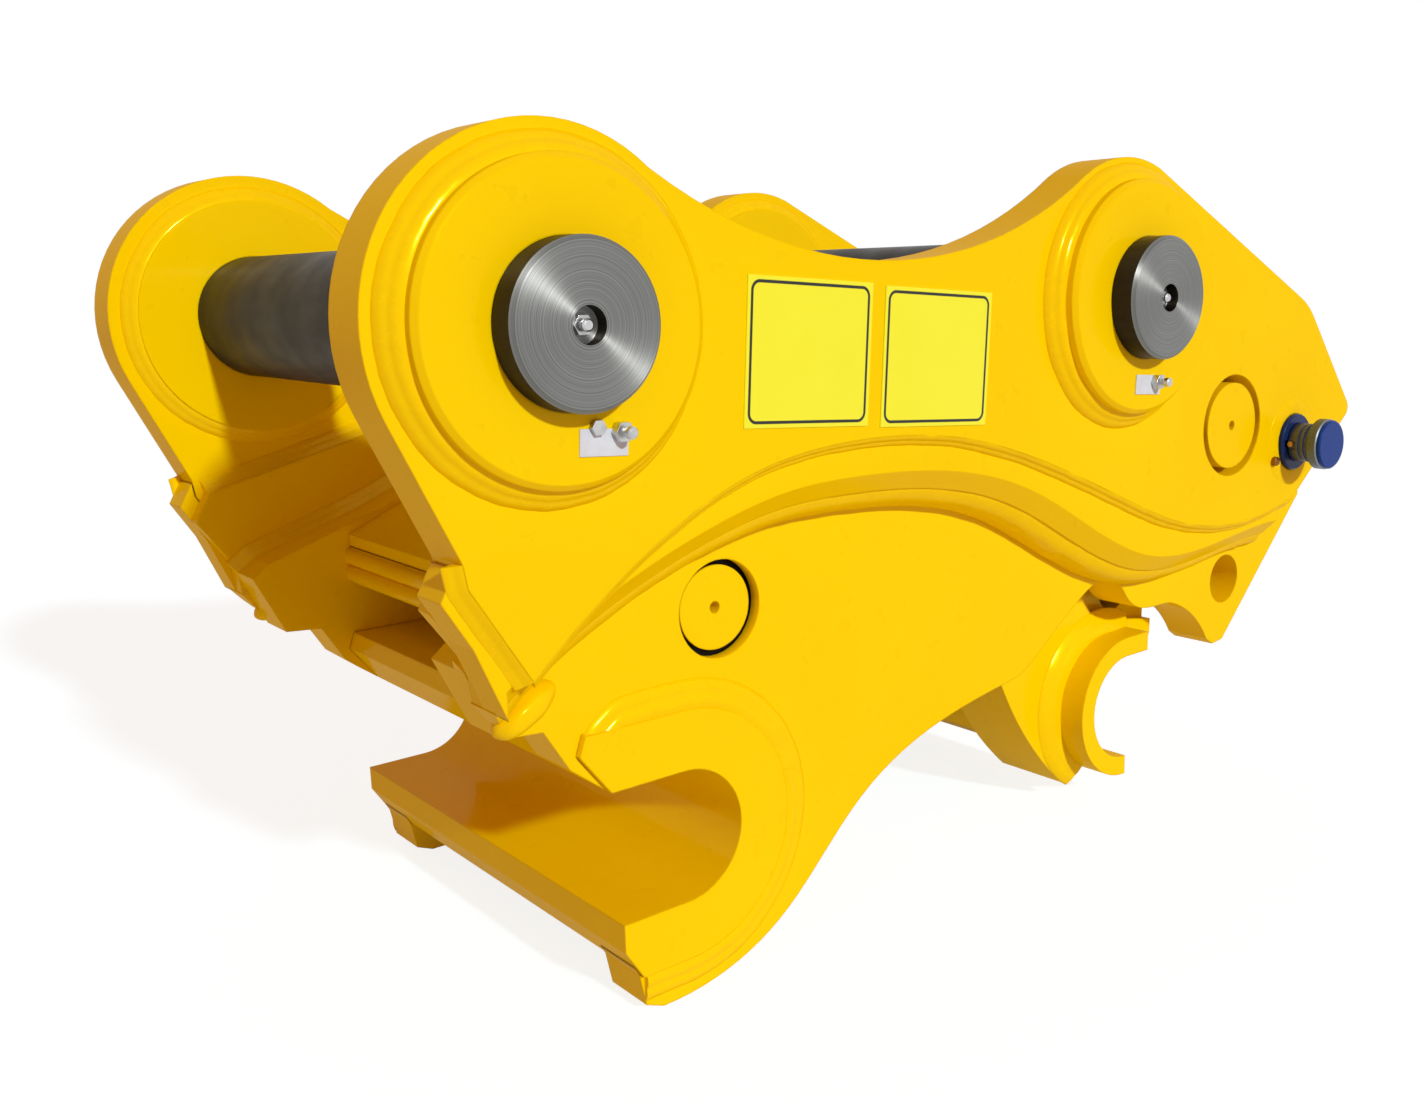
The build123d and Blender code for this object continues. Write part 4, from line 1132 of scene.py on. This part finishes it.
class COUPLER_OT_spindle_thread(bpy.types.Operator):
    """Cuts the thread on the spindle, between its collar and its hexagon end"""
    bl_idname = "coupler.spindle_thread"
    bl_label = "Spindle thread"

    def execute(self, context):
        around = 36
        tilt = math.radians(SPINDLE_TILT)
        axis = Vector((math.cos(tilt), 0.0, -math.sin(tilt)))
        across = Vector((0.0, 1.0, 0.0))
        upright = axis.cross(across)
        foot = Vector((ANCHOR[0], 0.0, ANCHOR[1]))
        points = []
        for station, kind in self.stations():
            for i in range(around):
                angle = 2 * math.pi * i / around
                radius = self.radius(station, kind, angle)
                ring = across * math.cos(angle) + upright * math.sin(angle)
                points.append((foot + axis * station + ring * radius) * MM)
        mesh = mesh_of_rings("threaded_spindle", points, around)
        steel = cast_metal("spindle_steel", linear((0.55, 0.54, 0.52)), linear((0.36, 0.34, 0.31)), 0.34)
        mesh.materials.append(steel)
        spindle = bpy.data.objects.new("threaded_spindle", mesh)
        context.scene.collection.objects.link(spindle)
        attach(spindle, "spindle")
        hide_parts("spindle")
        return {"FINISHED"}

    def stations(self):
        """Places along the axis, each with the kind of section there."""
        rows = [(SPINDLE_START, "bevel"), (SPINDLE_START + 1.5, "round")]
        rows += [(SPINDLE_COLLAR[0], "round"), (SPINDLE_COLLAR[0], "collar")]
        rows += [(SPINDLE_COLLAR[1], "collar"), (SPINDLE_COLLAR[1], "round")]
        steps = int((SPINDLE_THREAD[1] - SPINDLE_THREAD[0]) / THREAD_LEAD * THREAD_STEPS)
        for i in range(steps + 1):
            rows.append((SPINDLE_THREAD[0] + i * THREAD_LEAD / THREAD_STEPS, "thread"))
        rows += [(SPINDLE_END - 1.0, "round"), (SPINDLE_END, "bevel"), (SPINDLE_END, "hexagon")]
        rows += [(SPINDLE_TIP - 2.0, "hexagon"), (SPINDLE_TIP, "tip")]
        return rows

    def radius(self, station, kind, angle):
        """Distance of the spindle's skin from its axis."""
        if kind == "collar":
            return COLLAR_RADIUS
        if kind == "bevel":
            return SPINDLE_RADIUS - 1.0
        if kind in ("hexagon", "tip"):
            turn = (angle + math.pi / 6) % (math.pi / 3) - math.pi / 6
            flat = HEXAGON_FLATS / 2 / math.cos(turn)
            return min(flat, HEXAGON_CORNERS if kind == "hexagon" else TIP_CORNERS)
        if kind == "thread":
            phase = (station / THREAD_LEAD - angle / (2 * math.pi)) % 1.0
            to_end = min(station - SPINDLE_THREAD[0], SPINDLE_THREAD[1] - station)
            run = min(1.0, max(0.0, to_end / THREAD_RUNOUT))
            flank = min(1.0, max(0.0, (abs(phase - 0.5) - THREAD_CREST) / THREAD_FLANK))
            return SPINDLE_RADIUS - (SPINDLE_RADIUS - SPINDLE_ROOT) * flank * run
        return SPINDLE_RADIUS


def yellow_enamel(paint, name="yellow_enamel"):
    """Enamel of the plates."""
    colour = linear(paint.yellow)
    deep = (colour[0] * 0.88, colour[1] * 0.78, colour[2], 1.0)
    return enamel(name, colour, deep, paint.gloss, paint.peel)


def weld_enamel(paint):
    """The same enamel over the weld beads, without flame-cut lines."""
    colour = linear(paint.yellow)
    deep = (colour[0] * 0.85, colour[1] * 0.72, colour[2], 1.0)
    return enamel("weld_enamel", colour, deep, paint.gloss * 0.8, paint.peel * 1.5, 0.0, 0.0)


def slots_of_nodes():
    """Material slot of each node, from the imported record."""
    return {item["node"]: item["material_slot"] for item in frame["record"]["subparts"]}


class COUPLER_PT_panel(bpy.types.Panel):
    """Lists the steps that dress the coupler"""
    bl_idname = "COUPLER_PT_panel"
    bl_label = "Quick coupler"
    bl_space_type = "VIEW_3D"
    bl_region_type = "UI"
    bl_category = "Coupler"

    def draw(self, context):
        layout = self.layout
        for operator in OPERATORS:
            layout.operator(operator.bl_idname)
        for group in ("coupler_weld", "coupler_paint", "coupler_stage"):
            settings = getattr(context.scene, group)
            box = layout.box()
            for name in settings.__annotations__:
                box.prop(settings, name)


SETTINGS = (CouplerWeldSettings, CouplerPaintSettings, CouplerStageSettings)
OPERATORS = (
    COUPLER_OT_stage, COUPLER_OT_plate_enamel, COUPLER_OT_stick_pins, COUPLER_OT_drive_steel,
    COUPLER_OT_knob_blue, COUPLER_OT_labels, COUPLER_OT_weld_beads, COUPLER_OT_stop_peg,
    COUPLER_OT_spindle_thread,
)


def register():
    """Registers the settings, the operators and the panel."""
    for item in (*SETTINGS, *OPERATORS, COUPLER_PT_panel):
        bpy.utils.register_class(item)
    bpy.types.Scene.coupler_weld = bpy.props.PointerProperty(type=CouplerWeldSettings)
    bpy.types.Scene.coupler_paint = bpy.props.PointerProperty(type=CouplerPaintSettings)
    bpy.types.Scene.coupler_stage = bpy.props.PointerProperty(type=CouplerStageSettings)


def unregister():
    """Takes them out again."""
    del bpy.types.Scene.coupler_weld
    del bpy.types.Scene.coupler_paint
    del bpy.types.Scene.coupler_stage
    for item in reversed((*SETTINGS, *OPERATORS, COUPLER_PT_panel)):
        bpy.utils.unregister_class(item)


def main():
    """Dresses the coupler."""
    register()
    bpy.ops.coupler.stage()
    bpy.ops.coupler.plate_enamel()
    bpy.ops.coupler.stick_pins()
    bpy.ops.coupler.drive_steel()
    bpy.ops.coupler.knob_blue()
    bpy.ops.coupler.labels()
    bpy.ops.coupler.weld_beads()
    bpy.ops.coupler.stop_peg()
    bpy.ops.coupler.spindle_thread()


if __name__ == "__main__":
    main()
